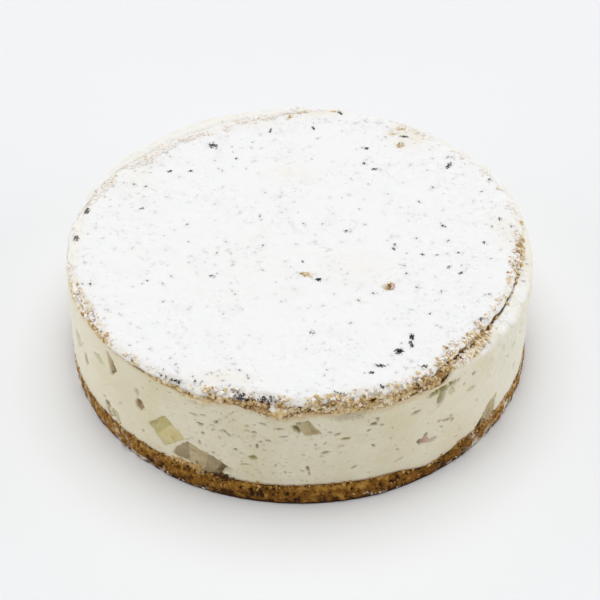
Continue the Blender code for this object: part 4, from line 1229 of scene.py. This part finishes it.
def makeSugar():
    count = sugarShape["grid"]
    side = np.linspace(-1.0, 1.0, count)
    x, y = np.meshgrid(side, side)
    wide = np.abs(x) > np.abs(y)
    long = np.where(wide, x, y)
    short = np.where(wide, y, x)
    turn = 0.25 * math.pi * short / np.where(long == 0.0, 1.0, long)
    u = np.where(wide, long * np.cos(turn), long * np.sin(turn))
    v = np.where(wide, long * np.sin(turn), long * np.cos(turn))
    angles = np.degrees(np.arctan2(u, -v))
    outer = sugarReach(angles) + 1.8
    spans = np.hypot(u, v) * outer
    heights = sugarHeight(angles, spans)
    rows = onCake(angles, spans, heights)
    number = np.arange(count * count).reshape(count, count)
    quads = np.stack([number[:-1, :-1], number[:-1, 1:], number[1:, 1:], number[1:, :-1]], axis=-1)
    ring = np.concatenate([number[0, :-1], number[:-1, -1], number[-1, :0:-1], number[:0:-1, 0]])
    below = rows.reshape(-1, 3)[ring] * np.array([0.99, 0.99, 1.0]) - np.array([0.0, 0.0, 0.5])
    first = count * count
    lowRing = first + np.arange(len(ring))
    skirt = np.stack([ring, lowRing, np.roll(lowRing, -1), np.roll(ring, -1)], axis=-1)
    pole = first + len(ring)
    fan = np.stack([np.full(len(ring), pole), np.roll(lowRing, -1), lowRing], axis=-1)
    points = np.concatenate([rows.reshape(-1, 3), below, [(0.0, 0.0, cake["biscuitTop"] + 0.3)]])
    warm = np.zeros_like(spans)
    for x, y, across, along, amount in sugarShape["warm"]:
        near = np.exp(-(((rows[..., 0] - x) / across) ** 2 + ((rows[..., 1] - y) / along) ** 2))
        warm = np.maximum(warm, amount * near * (1.0 + 0.8 * cloud(rows, 7.0, 79, 2)))
    edge = 0.3 * easeStep(2.4, 0.2, sugarReach(angles) - spans)
    warm = np.clip(np.maximum(warm, edge), 0.0, 1.0)
    rim = biscuitRadius(angles)
    veil = easeStep(rim - 0.5, rim + 1.2, spans) * levelShare(angles)
    nearEdge = easeStep(101.4, 104.4, spans + 1.2 * cloud(rows, 5.0, 80))
    veil = np.maximum(veil, around(sugarShape["ivoryEdge"], angles) * nearEdge)
    # the grey smudge that each speck leaves in the sugar
    draw = np.random.default_rng(specks["seed"] + 1)
    flat = rows.reshape(-1, 3)
    smudge = np.zeros(len(flat))
    for x, y, size, dark in speckSpots():
        near = np.nonzero((np.abs(flat[:, 0] - x) < 5.0) & (np.abs(flat[:, 1] - y) < 5.0))[0]
        way = draw.uniform(0.0, math.pi)
        along = (flat[near, 0] - x) * math.cos(way) + (flat[near, 1] - y) * math.sin(way)
        across = (flat[near, 1] - y) * math.cos(way) - (flat[near, 0] - x) * math.sin(way)
        reach = (along / (0.75 + 0.85 * size)) ** 2 + (across / (0.55 + 0.35 * size)) ** 2
        smudge[near] = np.maximum(smudge[near], (0.24 + 0.14 * dark) * np.exp(-reach))
    rest = np.zeros(len(ring) + 1)
    marks = {"warm": warm.ravel(), "veil": veil.ravel(), "smudge": smudge}
    marks = {key: np.concatenate([values, rest]) for key, values in marks.items()}
    piece = fillMesh("icingSugar", points, [quads.reshape(-1, 4), skirt, fan], marks)
    turnOutward(piece)
    dress(piece, makeSugarMaterial("icingSugar", True), "icing_sugar", "sugar_layer")


# Dark flakes and toasted crumbs on the sugar: x, y, length, width, turn in degrees, how full.
flakes = {
    "dark": (
        (44.5, -78.5, 4.6, 3.4, 10, 1.6), (50, -74, 1.8, 4.2, 10, 1.3), (50.5, -69, 2.2, 4.6, 0, 1.3),
        (36, -88, 4.6, 2, -10, 0.9), (32, -92.5, 2.2, 1.8, 0, 1.5), (55, -88.5, 2.8, 2.2, 20, 1.3),
        (82, -57, 4, 2.6, 25, 0.7), (-43.5, 75, 4.6, 5, 0, 1), (-102, 23.5, 2.8, 5.6, 0, 1),
        (-105.5, 2.5, 3, 5.6, 10, 0.7), (73, 57, 2, 6.8, -30, 0.9), (36.5, 54.5, 3.4, 1.8, 0, 0.9),
        (31.5, 59.5, 2.2, 2, 0, 0.9), (9, -29, 2.8, 2.2, -10, 1.4), (52, 81.5, 4.6, 1.4, -12, 1.2),
        (-64, 54, 2.8, 1.6, 30, 0.9), (74.5, -25, 3, 1.8, 50, 0.7), (69, -20.5, 2.6, 2, 30, 0.6),
        (44, -7, 1.8, 2.6, 0, 0.5), (68, 10, 1.6, 3.6, 30, 0.8), (95, 14.5, 1.8, 3.2, -20, 0.6),
        (-15, 87, 1.4, 4.8, 0, 0.6), (33, 72, 2.6, 2, 30, 0.6), (6.5, 89, 1, 4.6, 25, 0.8),
        (20, 102, 2, 3.6, 30, 0.9), (87, -3, 1.8, 2.6, 20, 0.6), (57.5, -11.5, 2, 2, 0, 0.7),
        (-53.5, 54, 2.4, 1.4, 0, 0.5), (-31.5, 64, 1.4, 1.4, 0, 0.5), (-75.5, 24.5, 3, 1.4, 20, 0.5),
        (1.5, -16, 1.6, 1.6, 0, 0.5), (22, 6.5, 2, 2.8, 0, 0.4), (6, -66, 3, 3, 0, 0.35),
        (-40.5, -26, 3.4, 1.6, 0, 0.35), (44.8, -4, 1.2, 2, 0, 0.4), (92, 45.5, 2.2, 1.8, 0, 0.4),
    ),
    "tan": (
        (3.2, -25.5, 6, 3, -18, 1), (41.5, -34.5, 5.6, 4.6, 30, 1.4), (49.5, 74, 3.6, 3.2, 0, 1.2),
        (58.5, 90.5, 2.6, 2.4, 0, 1.3), (50, 88, 6, 3, 0, 0.35), (46, 84, 4, 3, 0, 0.3),
        (0, 102.5, 7, 1.8, 12, 0.6), (-5.5, 98.5, 2.2, 3, -30, 0.5), (17, 103.5, 3.4, 1.6, -30, 0.6),
        (104.5, -8, 2.4, 5, 0, 0.6), (101, -20, 3, 6, -20, 0.4), (105.5, 15, 1.6, 2.6, 0, 0.9),
    ),
}
# Clusters of dark crumbs in the biscuit's edge: angle, height, spread in degrees and in mm, count.
darkEdge = (
    (-14, 63.2, 1.3, 0.9, 26), (-12, 62, 1, 0.8, 12), (-7.4, 63, 1.8, 0.8, 22), (-4.4, 61.4, 1, 1, 9),
    (-30, 61.4, 1.6, 0.7, 13), (-33.5, 61.6, 1.4, 0.5, 3), (-25, 64, 1.6, 0.5, 4),
    (20.5, 64.2, 1.2, 0.6, 7), (40.5, 58, 3.2, 2.4, 12), (54.5, 64.4, 1, 0.5, 7), (9, 64.3, 2, 0.6, 6),
)


def surfaceHeight(x, y):
    return sugarHeight(np.degrees(np.arctan2(x, -np.asarray(y))), np.hypot(x, y))


def turnedSpot(x, y, along, across, turn):
    # a spot that lies so far along and across a way turned by an angle
    right = x + along * math.cos(turn) - across * math.sin(turn)
    return (right, y + along * math.sin(turn) + across * math.cos(turn), 0.0)


def makeFlakes(kind, material, seed, grainSize, sink, dust):
    draw = np.random.default_rng(seed)
    spots, sizes, tones = [], [], []
    for x, y, long, wide, turn, full in flakes[kind]:
        way = math.radians(turn)
        for _ in range(int(5 + long * wide * 2.6 * full)):
            reach, spin = draw.uniform() ** 0.7, draw.uniform(0.0, 2.0 * math.pi)
            if draw.uniform() < 0.2:
                reach *= 1.7
            along, across = 0.5 * long * reach * math.cos(spin), 0.5 * wide * reach * math.sin(spin)
            spots.append(turnedSpot(x, y, along, across, way))
            sizes.append(draw.uniform(*grainSize) * (1.2 - 0.45 * reach))
            tone = 0.15 + 0.5 * (1.3 - full) + 0.35 * reach + draw.uniform(-0.2, 0.2)
            tones.append(tone + (0.1 if kind == "tan" else 0.0))
    spots, sizes = np.array(spots), np.array(sizes)
    spots[:, 2] = surfaceHeight(spots[:, 0], spots[:, 1]) + sink * sizes
    if kind == "dark":
        extra, extraSizes = [], []
        for angle, height, turnSpread, heightSpread, count in darkEdge:
            for _ in range(count):
                size = draw.uniform(0.55, 1.35)
                spin = angle + draw.normal(0.0, 0.6 * turnSpread)
                up = height + draw.normal(0.0, 0.6 * heightSpread)
                inward = 0.5 + 1.4 * max(up - 62.4, 0.0)
                extra.append(tuple(onCake(spin, single(biscuitRadius, spin) - inward, up)))
                extraSizes.append(size)
                tones.append(draw.uniform(0.1, 0.9))
        spots, sizes = np.concatenate([spots, extra]), np.concatenate([sizes, extraSizes])
    dusts = dust + draw.uniform(-0.25, 0.35, len(spots))
    piece = lumpMesh(kind + "Flakes", spots, sizes, 0.7, seed, 0.42, 1.3, tones, dusts)
    dress(piece, material, "golden_biscuit")


specks = {
    "count": 340,
    "seed": 5,
    # x, y and size of those that have a set place
    "named": (
        (-81, 44, 1.6), (-75, 42, 1.2), (-53.5, 12, 1.6), (-19, 18, 0.9), (64, -12, 1.1), (2, 12, 1.2),
        (-34.5, -1, 1.3), (-38.5, -9.5, 1.1), (-59, -26, 1.2), (-62, -44, 1.2), (-70, -29, 1.1),
        (-63, -31, 1), (-96, -31, 2), (-102, -30, 1.4), (23.5, 34.5, 1.2), (57.5, 28.5, 1.4),
        (64.5, 39.5, 1.3), (88, 36, 1.5), (74, -10, 1.4), (73, 64, 1.7), (33, 95, 1.8), (28, 93, 1.3),
        (9, 80.5, 1.1), (42.5, 81, 1.2), (51, 76, 1.1), (49.5, -25, 1.5), (34, -39, 1.4), (27, -44, 1.1),
        (65, -38, 1.6), (59, -53.5, 1.3), (-17, -22, 1.1), (-17, -4, 1), (48.5, -19.5, 1.5), (70, -1, 1.2),
        (55, 0.5, 1.2), (91, 9, 1.3), (31, 11, 1), (11, 12, 0.9), (54, -35, 1.2), (-66, -76, 1.2),
        (-54, -86, 1.1), (-46, -94, 1.6), (-38, -92, 1.4), (-33, -97, 1.3), (-26, -90, 1.2),
        (-42, -97, 1.2), (-30, -100, 1.3), (-22, -95, 1.1), (34, -87, 1.2), (87, -40, 1.3), (75, 64, 1.1),
        (100, 9, 1.4),
    ),
    # how close together the others lie, by angle
    "density": (
        (-180, 0.8), (-140, 1.3), (-100, 1.1), (-60, 0.9), (-30, 1.3), (0, 1), (40, 0.8), (90, 0.9),
        (140, 1.2),
    ),
}


def speckSpots():
    # where the specks lie, how big they are and how dark
    draw = np.random.default_rng(specks["seed"])
    spots = [(x, y, size, 0.8) for x, y, size in specks["named"]]
    while len(spots) < specks["count"]:
        angle, share = draw.uniform(-180.0, 180.0), math.sqrt(draw.uniform())
        radius = share * (single(sugarReach, angle) - 1.0)
        wanted = around(specks["density"], angle) * (0.3 + 0.8 * share**5)
        x, y = radius * math.sin(math.radians(angle)), -radius * math.cos(math.radians(angle))
        wanted += 0.5 * math.exp(-((x + 25.0) ** 2 + (y + 18.0) ** 2) / 34.0**2)
        if draw.uniform(0.0, 1.5) < wanted:
            spots.append((x, y, 0.45 + 1.0 * draw.uniform() ** 2, draw.uniform(-0.8, 0.4)))
    return spots


def makeSpecks(material):
    # each speck is a few dark shards with paler, dusted ones round them
    draw = np.random.default_rng(specks["seed"])
    spots, sizes, tones, dusts = [], [], [], []
    for x, y, size, dark in speckSpots():
        way, stretch = draw.uniform(0.0, math.pi), draw.uniform(0.15, 0.7)
        for index in range(int(3 + 5.0 * size)):
            core = index < 1 + 2.0 * size * dark
            apart = size * (0.24 if core else 0.66)
            along, across = draw.normal(0.0, apart), draw.normal(0.0, apart * stretch)
            spots.append(turnedSpot(x, y, along, across, way))
            sizes.append(draw.uniform(0.4, 0.75) * (1.0 if core else 0.8))
            tones.append((0.2 if core else 0.8) + 0.5 * (1.0 - dark) + draw.uniform(-0.15, 0.15))
            dusts.append((-0.35 if core else 0.15) + draw.uniform(-0.15, 0.25))
    spots, sizes = np.array(spots), np.array(sizes)
    spots[:, 2] = surfaceHeight(spots[:, 0], spots[:, 1]) + 0.05 * sizes
    piece = lumpMesh("fineSpecks", spots, sizes, 0.6, 6, 0.4, 9.0, tones, dusts)
    dress(piece, material, "golden_biscuit")


# How the crumbs of the biscuit's edge change round the cake.
rimLook = {
    "clusters": 640,
    "seed": 31,
    # how thick with them the edge is
    "coverage": (
        (-180, 0.3), (-165, 1), (-154, 0.3), (-144, 1.3), (-132, 1.5), (-122, 0.4), (-114, 0.9),
        (-104, 0.2), (-86, 0.05), (-79, 0.5), (-72, 1.1), (-62, 1.5), (-50, 0.9), (-45, 0.45), (-33, 0.3),
        (-27, 0.9), (-22, 0.9), (-18, 1.1), (-10, 1.5), (0, 1.1), (20, 1.3), (34, 1.3), (44, 1.9),
        (52, 1.2), (58, 0.6), (64, 0.35), (74, 0.35), (80, 0.9), (88, 1.3), (97, 0.4), (108, 0.1),
        (140, 0.1), (150, 0.8), (156, 0.1),
    ),
    # from 0 for burnt to 1 for pale
    "tone": (
        (-180, 0.95), (-85, 0.95), (-70, 0.88), (-58, 0.74), (-50, 0.68), (-44, 0.68), (-30, 0.72),
        (-24, 0.94), (-18, 0.64), (-10, 0.44), (-4, 0.78), (4, 0.76), (12, 0.72), (20, 0.74), (28, 0.74),
        (35, 0.5), (42, 0.78), (60, 0.68), (80, 0.55), (100, 0.8),
    ),
    # how far the biscuit's colour smears down the cream
    "smear": (
        (-180, 0.3), (-60, 0.2), (-28, 0.15), (-20, 0.5), (-8, 0.3), (-3, 0.8), (4, 0.9), (12, 0.7),
        (24, 0.6), (34, 0.4), (46, 0.2),
    ),
    # how far inside the biscuit's edge they lie where the cream is level with it
    "inward": (
        (-178, 0.5), (-170, 3.5), (-162, 2.5), (-156, 5.5), (-148, 3), (-138, 2), (-128, 3.5),
        (-120, 2), (150, 1),
    ),
    # share of the edge's height from which it is white with sugar
    "whiteFrom": (
        (-180, 0.3), (-165, 0.36), (-115, 0.36), (-100, 0.3), (-86, 0.2), (-76, 0.42), (-68, 0.5),
        (-56, 0.7), (-48, 0.82), (-30, 0.56), (-26, 0.7), (-21, 0.8), (-16, 0.65), (-8, 0.66), (-5, 0.6),
        (0, 0.78), (8, 0.78), (16, 0.76), (25, 0.74), (32, 0.95), (36, 0.88), (42, 0.66), (48, 0.86),
        (60, 0.8), (90, 0.75), (100, 0.3),
    ),
    "spill": (  # angle, height, spread in degrees and mm, count, size, dust
        (43, 58, 3.6, 3.2, 110, 2.6, 0.6), (39, 60.5, 2.4, 1.6, 40, 2.2, 0.5),
        (50, 61.5, 3.4, 1.2, 30, 2, 0.6), (-19.2, 52, 0.5, 1.1, 9, 1.1, 0), (-25.5, 54, 1.2, 0.8, 8, 1, 0),
        (-66, 61.5, 6, 1, 24, 1.5, 0.3), (24, 58, 3, 2, 26, 1.6, 0.2), (49, 60.5, 2.4, 1.4, 50, 2.2, 0.1),
    ),
}


def makeRimCrumbs(material):
    # loose crumbs in clumps along the biscuit's edge, and heaps of them that spill from it
    draw = np.random.default_rng(rimLook["seed"])
    spots, sizes, tones, dusts = [], [], [], []
    made = 0
    while made < rimLook["clusters"]:
        middle = draw.uniform(-180.0, 180.0)
        if draw.uniform(0.0, 2.0) > around(rimLook["coverage"], middle):
            continue
        made += 1
        level = single(lipShare, middle)
        down = draw.uniform() * (1.0 - 0.55 * level)
        tone = around(rimLook["tone"], middle) + draw.normal(0.0, 0.14)
        coarse = draw.uniform(0.75, 1.6)
        for _ in range(int(draw.integers(3, 9))):
            size = coarse * draw.uniform(0.55, 1.3)
            angle = middle + draw.normal(0.0, 0.55)
            share = down + draw.normal(0.0, 0.09)
            rim = single(biscuitRadius, angle)
            top = single(topSurface, angle, rim) + 0.3
            low = single(biscuitUnder, angle, rim) + 0.55 * size
            if single(levelShare, angle) > 0.5:
                radius = rim + draw.normal(0.0, 1.4) - around(rimLook["inward"], angle)
                height = single(sugarHeight, angle, radius) + 0.12 * size
            elif share < 0.3:
                inward = abs(draw.normal(0.0, 1.0 + 0.25 * around(sugarShape["edgeGap"], angle)))
                radius, height = rim - 1.0 - inward, top + 0.05 * size + 0.5 * min(inward / 3.0, 1.0)
            else:
                radius, height = rim - 0.45, top - 0.6 + (low - top + 0.6) * min((share - 0.3) / 0.7, 1.0)
                outside = level * draw.uniform(0.0, 1.6)
                radius += outside
                height += (single(lipTop, angle) + 0.2 * size - height) * min(outside, 1.0)
            spot = onCake(angle, radius, height)
            spots.append(tuple(spot))
            sizes.append(size)
            tones.append(tone + draw.normal(0.0, 0.08))
            white = whiteCover(angle, 1.0 - max(share, 0.0), spot[None])[0] + 0.22 * (share < 0.3)
            dusts.append(white + draw.uniform(-0.25, 0.15))
    for angle, height, turnSpread, heightSpread, count, largest, dust in rimLook["spill"]:
        for _ in range(count):
            size = 0.7 + (largest - 0.5) * draw.uniform() ** 1.6
            spin, up = angle + draw.normal(0.0, turnSpread), height + draw.normal(0.0, heightSpread)
            rim, lip = single(biscuitRadius, spin), single(lipShare, spin)
            outside = 109.2 - max(up - 56.5, 0.0) * 0.55
            radius = outside * (1.0 - lip) + lip * draw.uniform(min(rim, 107.5), 107.8)
            onLip = single(lipTop, spin) + 0.2 * size - 1.2 * max(radius - 106.5, 0.0)
            up = up * (1.0 - lip) + lip * onLip
            spots.append(tuple(onCake(spin, radius, up)))
            sizes.append(size)
            tones.append(0.8 + draw.normal(0.0, 0.14))
            dusts.append(dust - 0.3 + draw.uniform(-0.4, 0.4))
    piece = lumpMesh("rimCrumbs", spots, sizes, 0.85, rimLook["seed"], 0.3, 1.14, tones, dusts)
    dress(piece, material, "golden_biscuit")


sugarLumps = {"count": 1500, "lipCount": 60, "seed": 41}


def makeSugarLumps(material):
    # small clots of icing sugar, near the rim and on the cream at the right
    draw = np.random.default_rng(sugarLumps["seed"])
    spots, sizes = [], []
    while len(spots) < sugarLumps["count"]:
        angle = draw.uniform(-180.0, 180.0)
        radius = single(sugarReach, angle) * math.sqrt(draw.uniform(0.5, 1.04))
        size = 0.35 + 1.0 * draw.uniform() ** 3
        spots.append(tuple(onCake(angle, radius, single(sugarHeight, angle, radius) - 0.05 * size)))
        sizes.append(size)
    for _ in range(sugarLumps["lipCount"]):
        angle = draw.uniform(34.0, 100.0)
        radius = draw.uniform(single(biscuitRadius, angle) - 0.5, 109.0)
        size = 0.5 + 1.5 * draw.uniform() ** 2.5
        if single(lipShare, angle) < 0.5:
            continue
        height = single(lipTop, angle) - 1.0 * max(radius - 106.8, 0.0) ** 1.3
        spots.append(tuple(onCake(angle, radius, height)))
        sizes.append(size)
    piece = lumpMesh("sugarLumps", spots, sizes, 0.6, sugarLumps["seed"], 0.25, 1.2)
    dress(piece, material, "icing_sugar")


# Crumbs that stand out of the base: angle, height, spread in degrees and mm, count, size, tone, dust.
baseCrumbs = (
    (-28, 13.4, 1.3, 0.9, 34, 2.1, 1, 0), (-25.4, 13.2, 1.2, 0.8, 26, 1.8, 0.8, 0),
    (-24.6, 10.8, 1.3, 0.6, 20, 1.3, 0.10, -0.2), (-18, 11.6, 0.9, 1, 32, 1.7, -0.1, -0.2),
    (41.5, 7.6, 2.8, 1.5, 60, 1.3, 0.30, 0.05), (45.5, 9.6, 1.6, 1, 40, 1.3, 0.35, 0.1),
    (53, 8.8, 2, 1.3, 46, 1.7, 0.66, 0.1), (50, 9.8, 1, 1, 16, 1.4, 0.5, 0.1),
    (-17.6, 7, 1, 1.4, 16, 1.4, 0.75, 0.1), (-45, 10, 9, 1.2, 60, 1.1, 0.55, 0.1),
    (-60, 9, 9, 2.4, 60, 1.3, 0.6, 0.2), (65, 8, 6, 2.2, 60, 1.4, 0.65, 0.15),
    (0, 11, 24, 0.8, 110, 1.5, 0.62, 0), (-40, 11.4, 10, 0.7, 60, 1.5, 0.45, 0),
    (45, 11.6, 12, 0.9, 50, 1.5, 0.6, 0), (5, 6, 22, 3, 90, 1.2, 0.45, 0),
    (-30, 6, 12, 3, 60, 1.2, 0.45, 0), (25, 6, 12, 2.6, 50, 1.2, 0.45, 0),
    (180, 6.5, 50, 3, 160, 1.1, 0.55, 0.05),
)
# Torn pale scraps along its lower edge: angle, height, spread in degrees and mm, count.
baseScraps = (
    (16.5, 3.2, 1.3, 0.4, 12), (18.6, 2, 0.9, 0.4, 6), (22.5, 1.6, 2, 0.3, 6), (-31.5, 2, 2.2, 0.4, 8),
    (-27, 1.6, 2.2, 0.3, 7), (-22.5, 1.6, 1.5, 0.3, 3), (44, 2.6, 4, 0.5, 4), (-44, 2.4, 4, 0.5, 4),
)


def makeBaseCrumbs(crumbMaterial, scrapMaterial):
    draw = np.random.default_rng(51)
    spots, sizes, tones, dusts = [], [], [], []
    for angle, height, turnSpread, heightSpread, count, largest, tone, dust in baseCrumbs:
        for _ in range(count):
            size = 0.5 + (largest - 0.4) * draw.uniform() ** 1.8
            spin = angle + draw.normal(0.0, turnSpread)
            up = max(height + draw.normal(0.0, heightSpread), 1.6)
            up = up * single(baseTop, spin, 110.0) / cake["baseHeight"]
            inset = around(baseShape["inset"], spin) * (0.3 + 0.7 * easeStep(10.0, 5.0, up))
            spots.append(tuple(onCake(spin, 110.0 - inset - 0.1 * max(up - 9.0, 0.0) - 0.15 * size, up)))
            sizes.append(size)
            tones.append(tone + draw.normal(0.0, 0.2))
            dusts.append(dust - 0.4 + draw.uniform(-0.3, 0.3))
    crumbs = lumpMesh("baseCrumbs", spots, sizes, 0.9, 52, 0.34, 1.4, tones, dusts)
    dress(crumbs, crumbMaterial, "baked_biscuit")
    spots, sizes = [], []
    for angle, height, turnSpread, heightSpread, count in baseScraps:
        for _ in range(count):
            spin = angle + draw.normal(0.0, turnSpread)
            up = max(height + draw.normal(0.0, heightSpread), 0.6)
            spots.append(tuple(onCake(spin, 110.4 + draw.uniform(0.0, 0.4), up)))
            sizes.append(draw.uniform(0.6, 1.7))
    scraps = lumpMesh("baseScraps", spots, sizes, 0.45, 53, 0.4, 9.0)
    dress(scraps, scrapMaterial, "baked_biscuit")


print("cream and pears")
pears = [*pearFaces, *backPearFaces()]
makeCream(pears)
pearMaterials = {kind: makePearMaterial("pear_" + kind, *values) for kind, values in pearKinds.items()}
for index, (depth, face, kind, sink, leanRight, dark) in enumerate(pears, start=1):
    makePear(index, depth, face, pearMaterials[kind], sink, leanRight, dark)

print("biscuits")
makeTopBiscuit()
makeBaseBiscuit()

print("sugar, flakes and crumbs")
makeSugar()
makeFlakes("dark", makeCrumbMaterial("burntFlake"), 81, (0.5, 1.0), 0.1, -0.2)
makeFlakes("tan", makeCrumbMaterial("toastedCrumb"), 82, (0.6, 1.4), 0.22, 0.0)
makeSpecks(makeCrumbMaterial("nutSpeck"))
makeRimCrumbs(makeCrumbMaterial("looseCrumb"))
makeSugarLumps(makeSugarMaterial("sugarClot", False))
makeBaseCrumbs(makeCrumbMaterial("looseBaseCrumb"), makeCrumbMaterial("tornScrap"))


studio = {
    "floorColour": (0.872, 0.882, 0.893),
    "floorShade": (0.86, 0.865, 0.87),
    "worldColour": (0.99, 1, 1.01),
    "worldStrength": 0.34,
    "lights": (
        # name, power, angle across it, tilt towards the back, tilt towards the right
        ("overhead", 1.64, 60, 10, 0), ("leftSide", 0.64, 50, -12, -74), ("rightSide", 0.64, 50, -12, 74),
        ("leftBack", 0.40, 50, 25, -76), ("rightBack", 0.40, 50, 25, 76),
    ),
}


def makeStudio():
    mesh = bpy.data.meshes.new("floor")
    half = 4000.0 * mm
    corners = [(-half, -half, 0), (half, -half, 0), (half, half, 0), (-half, half, 0)]
    mesh.from_pydata(corners, [], [(0, 1, 2, 3)])
    floor = bpy.data.objects.new("floor", mesh)
    bpy.context.scene.collection.objects.link(floor)
    material, tree, shader = newMaterial("paleFloor", 0.7, 0.2)
    shade = spread(tree, scaledNoise(tree, 900.0, 1.0), 0.3, 0.7, 0.0, 0.03)
    colour = blendColour(tree, shade, studio["floorColour"], studio["floorShade"])
    tree.links.new(colour, shader.inputs["Base Color"])
    floor.data.materials.append(material)

    world = bpy.data.worlds.new("studio")
    world.use_nodes = True
    background = world.node_tree.nodes["Background"]
    background.inputs["Color"].default_value = (*studio["worldColour"], 1.0)
    background.inputs["Strength"].default_value = studio["worldStrength"]
    bpy.context.scene.world = world

    for name, power, wide, back, right in studio["lights"]:
        lamp = bpy.data.lights.new(name, "SUN")
        lamp.energy = power
        lamp.angle = math.radians(wide)
        light = bpy.data.objects.new(name, lamp)
        light.rotation_euler = (math.radians(-back), math.radians(right), 0.0)
        bpy.context.scene.collection.objects.link(light)


cameraView = {
    "distance": 1,
    "elevation": 41.4,
    "aim": (0.00048, 0, 0.025),
    "lens": 124.26,
    "roll": 0.008,
}


def makeCamera():
    data = bpy.data.cameras.new("camera")
    data.lens = cameraView["lens"]
    data.sensor_width = 36.0
    data.clip_start = 0.01
    data.clip_end = 50.0
    camera = bpy.data.objects.new("camera", data)
    rise = math.radians(cameraView["elevation"])
    aimX, aimY, aimZ = cameraView["aim"]
    reach = cameraView["distance"]
    camera.location = (aimX, aimY - reach * math.cos(rise), aimZ + reach * math.sin(rise))
    camera.rotation_mode = "ZYX"  # the roll first, then the tilt
    camera.rotation_euler = (math.pi / 2 - rise, 0.0, cameraView["roll"])
    bpy.context.scene.collection.objects.link(camera)
    bpy.context.scene.camera = camera


print("studio")
makeStudio()
makeCamera()
bpy.context.scene.view_settings.view_transform = "Standard"
bpy.context.scene.view_settings.look = "None"
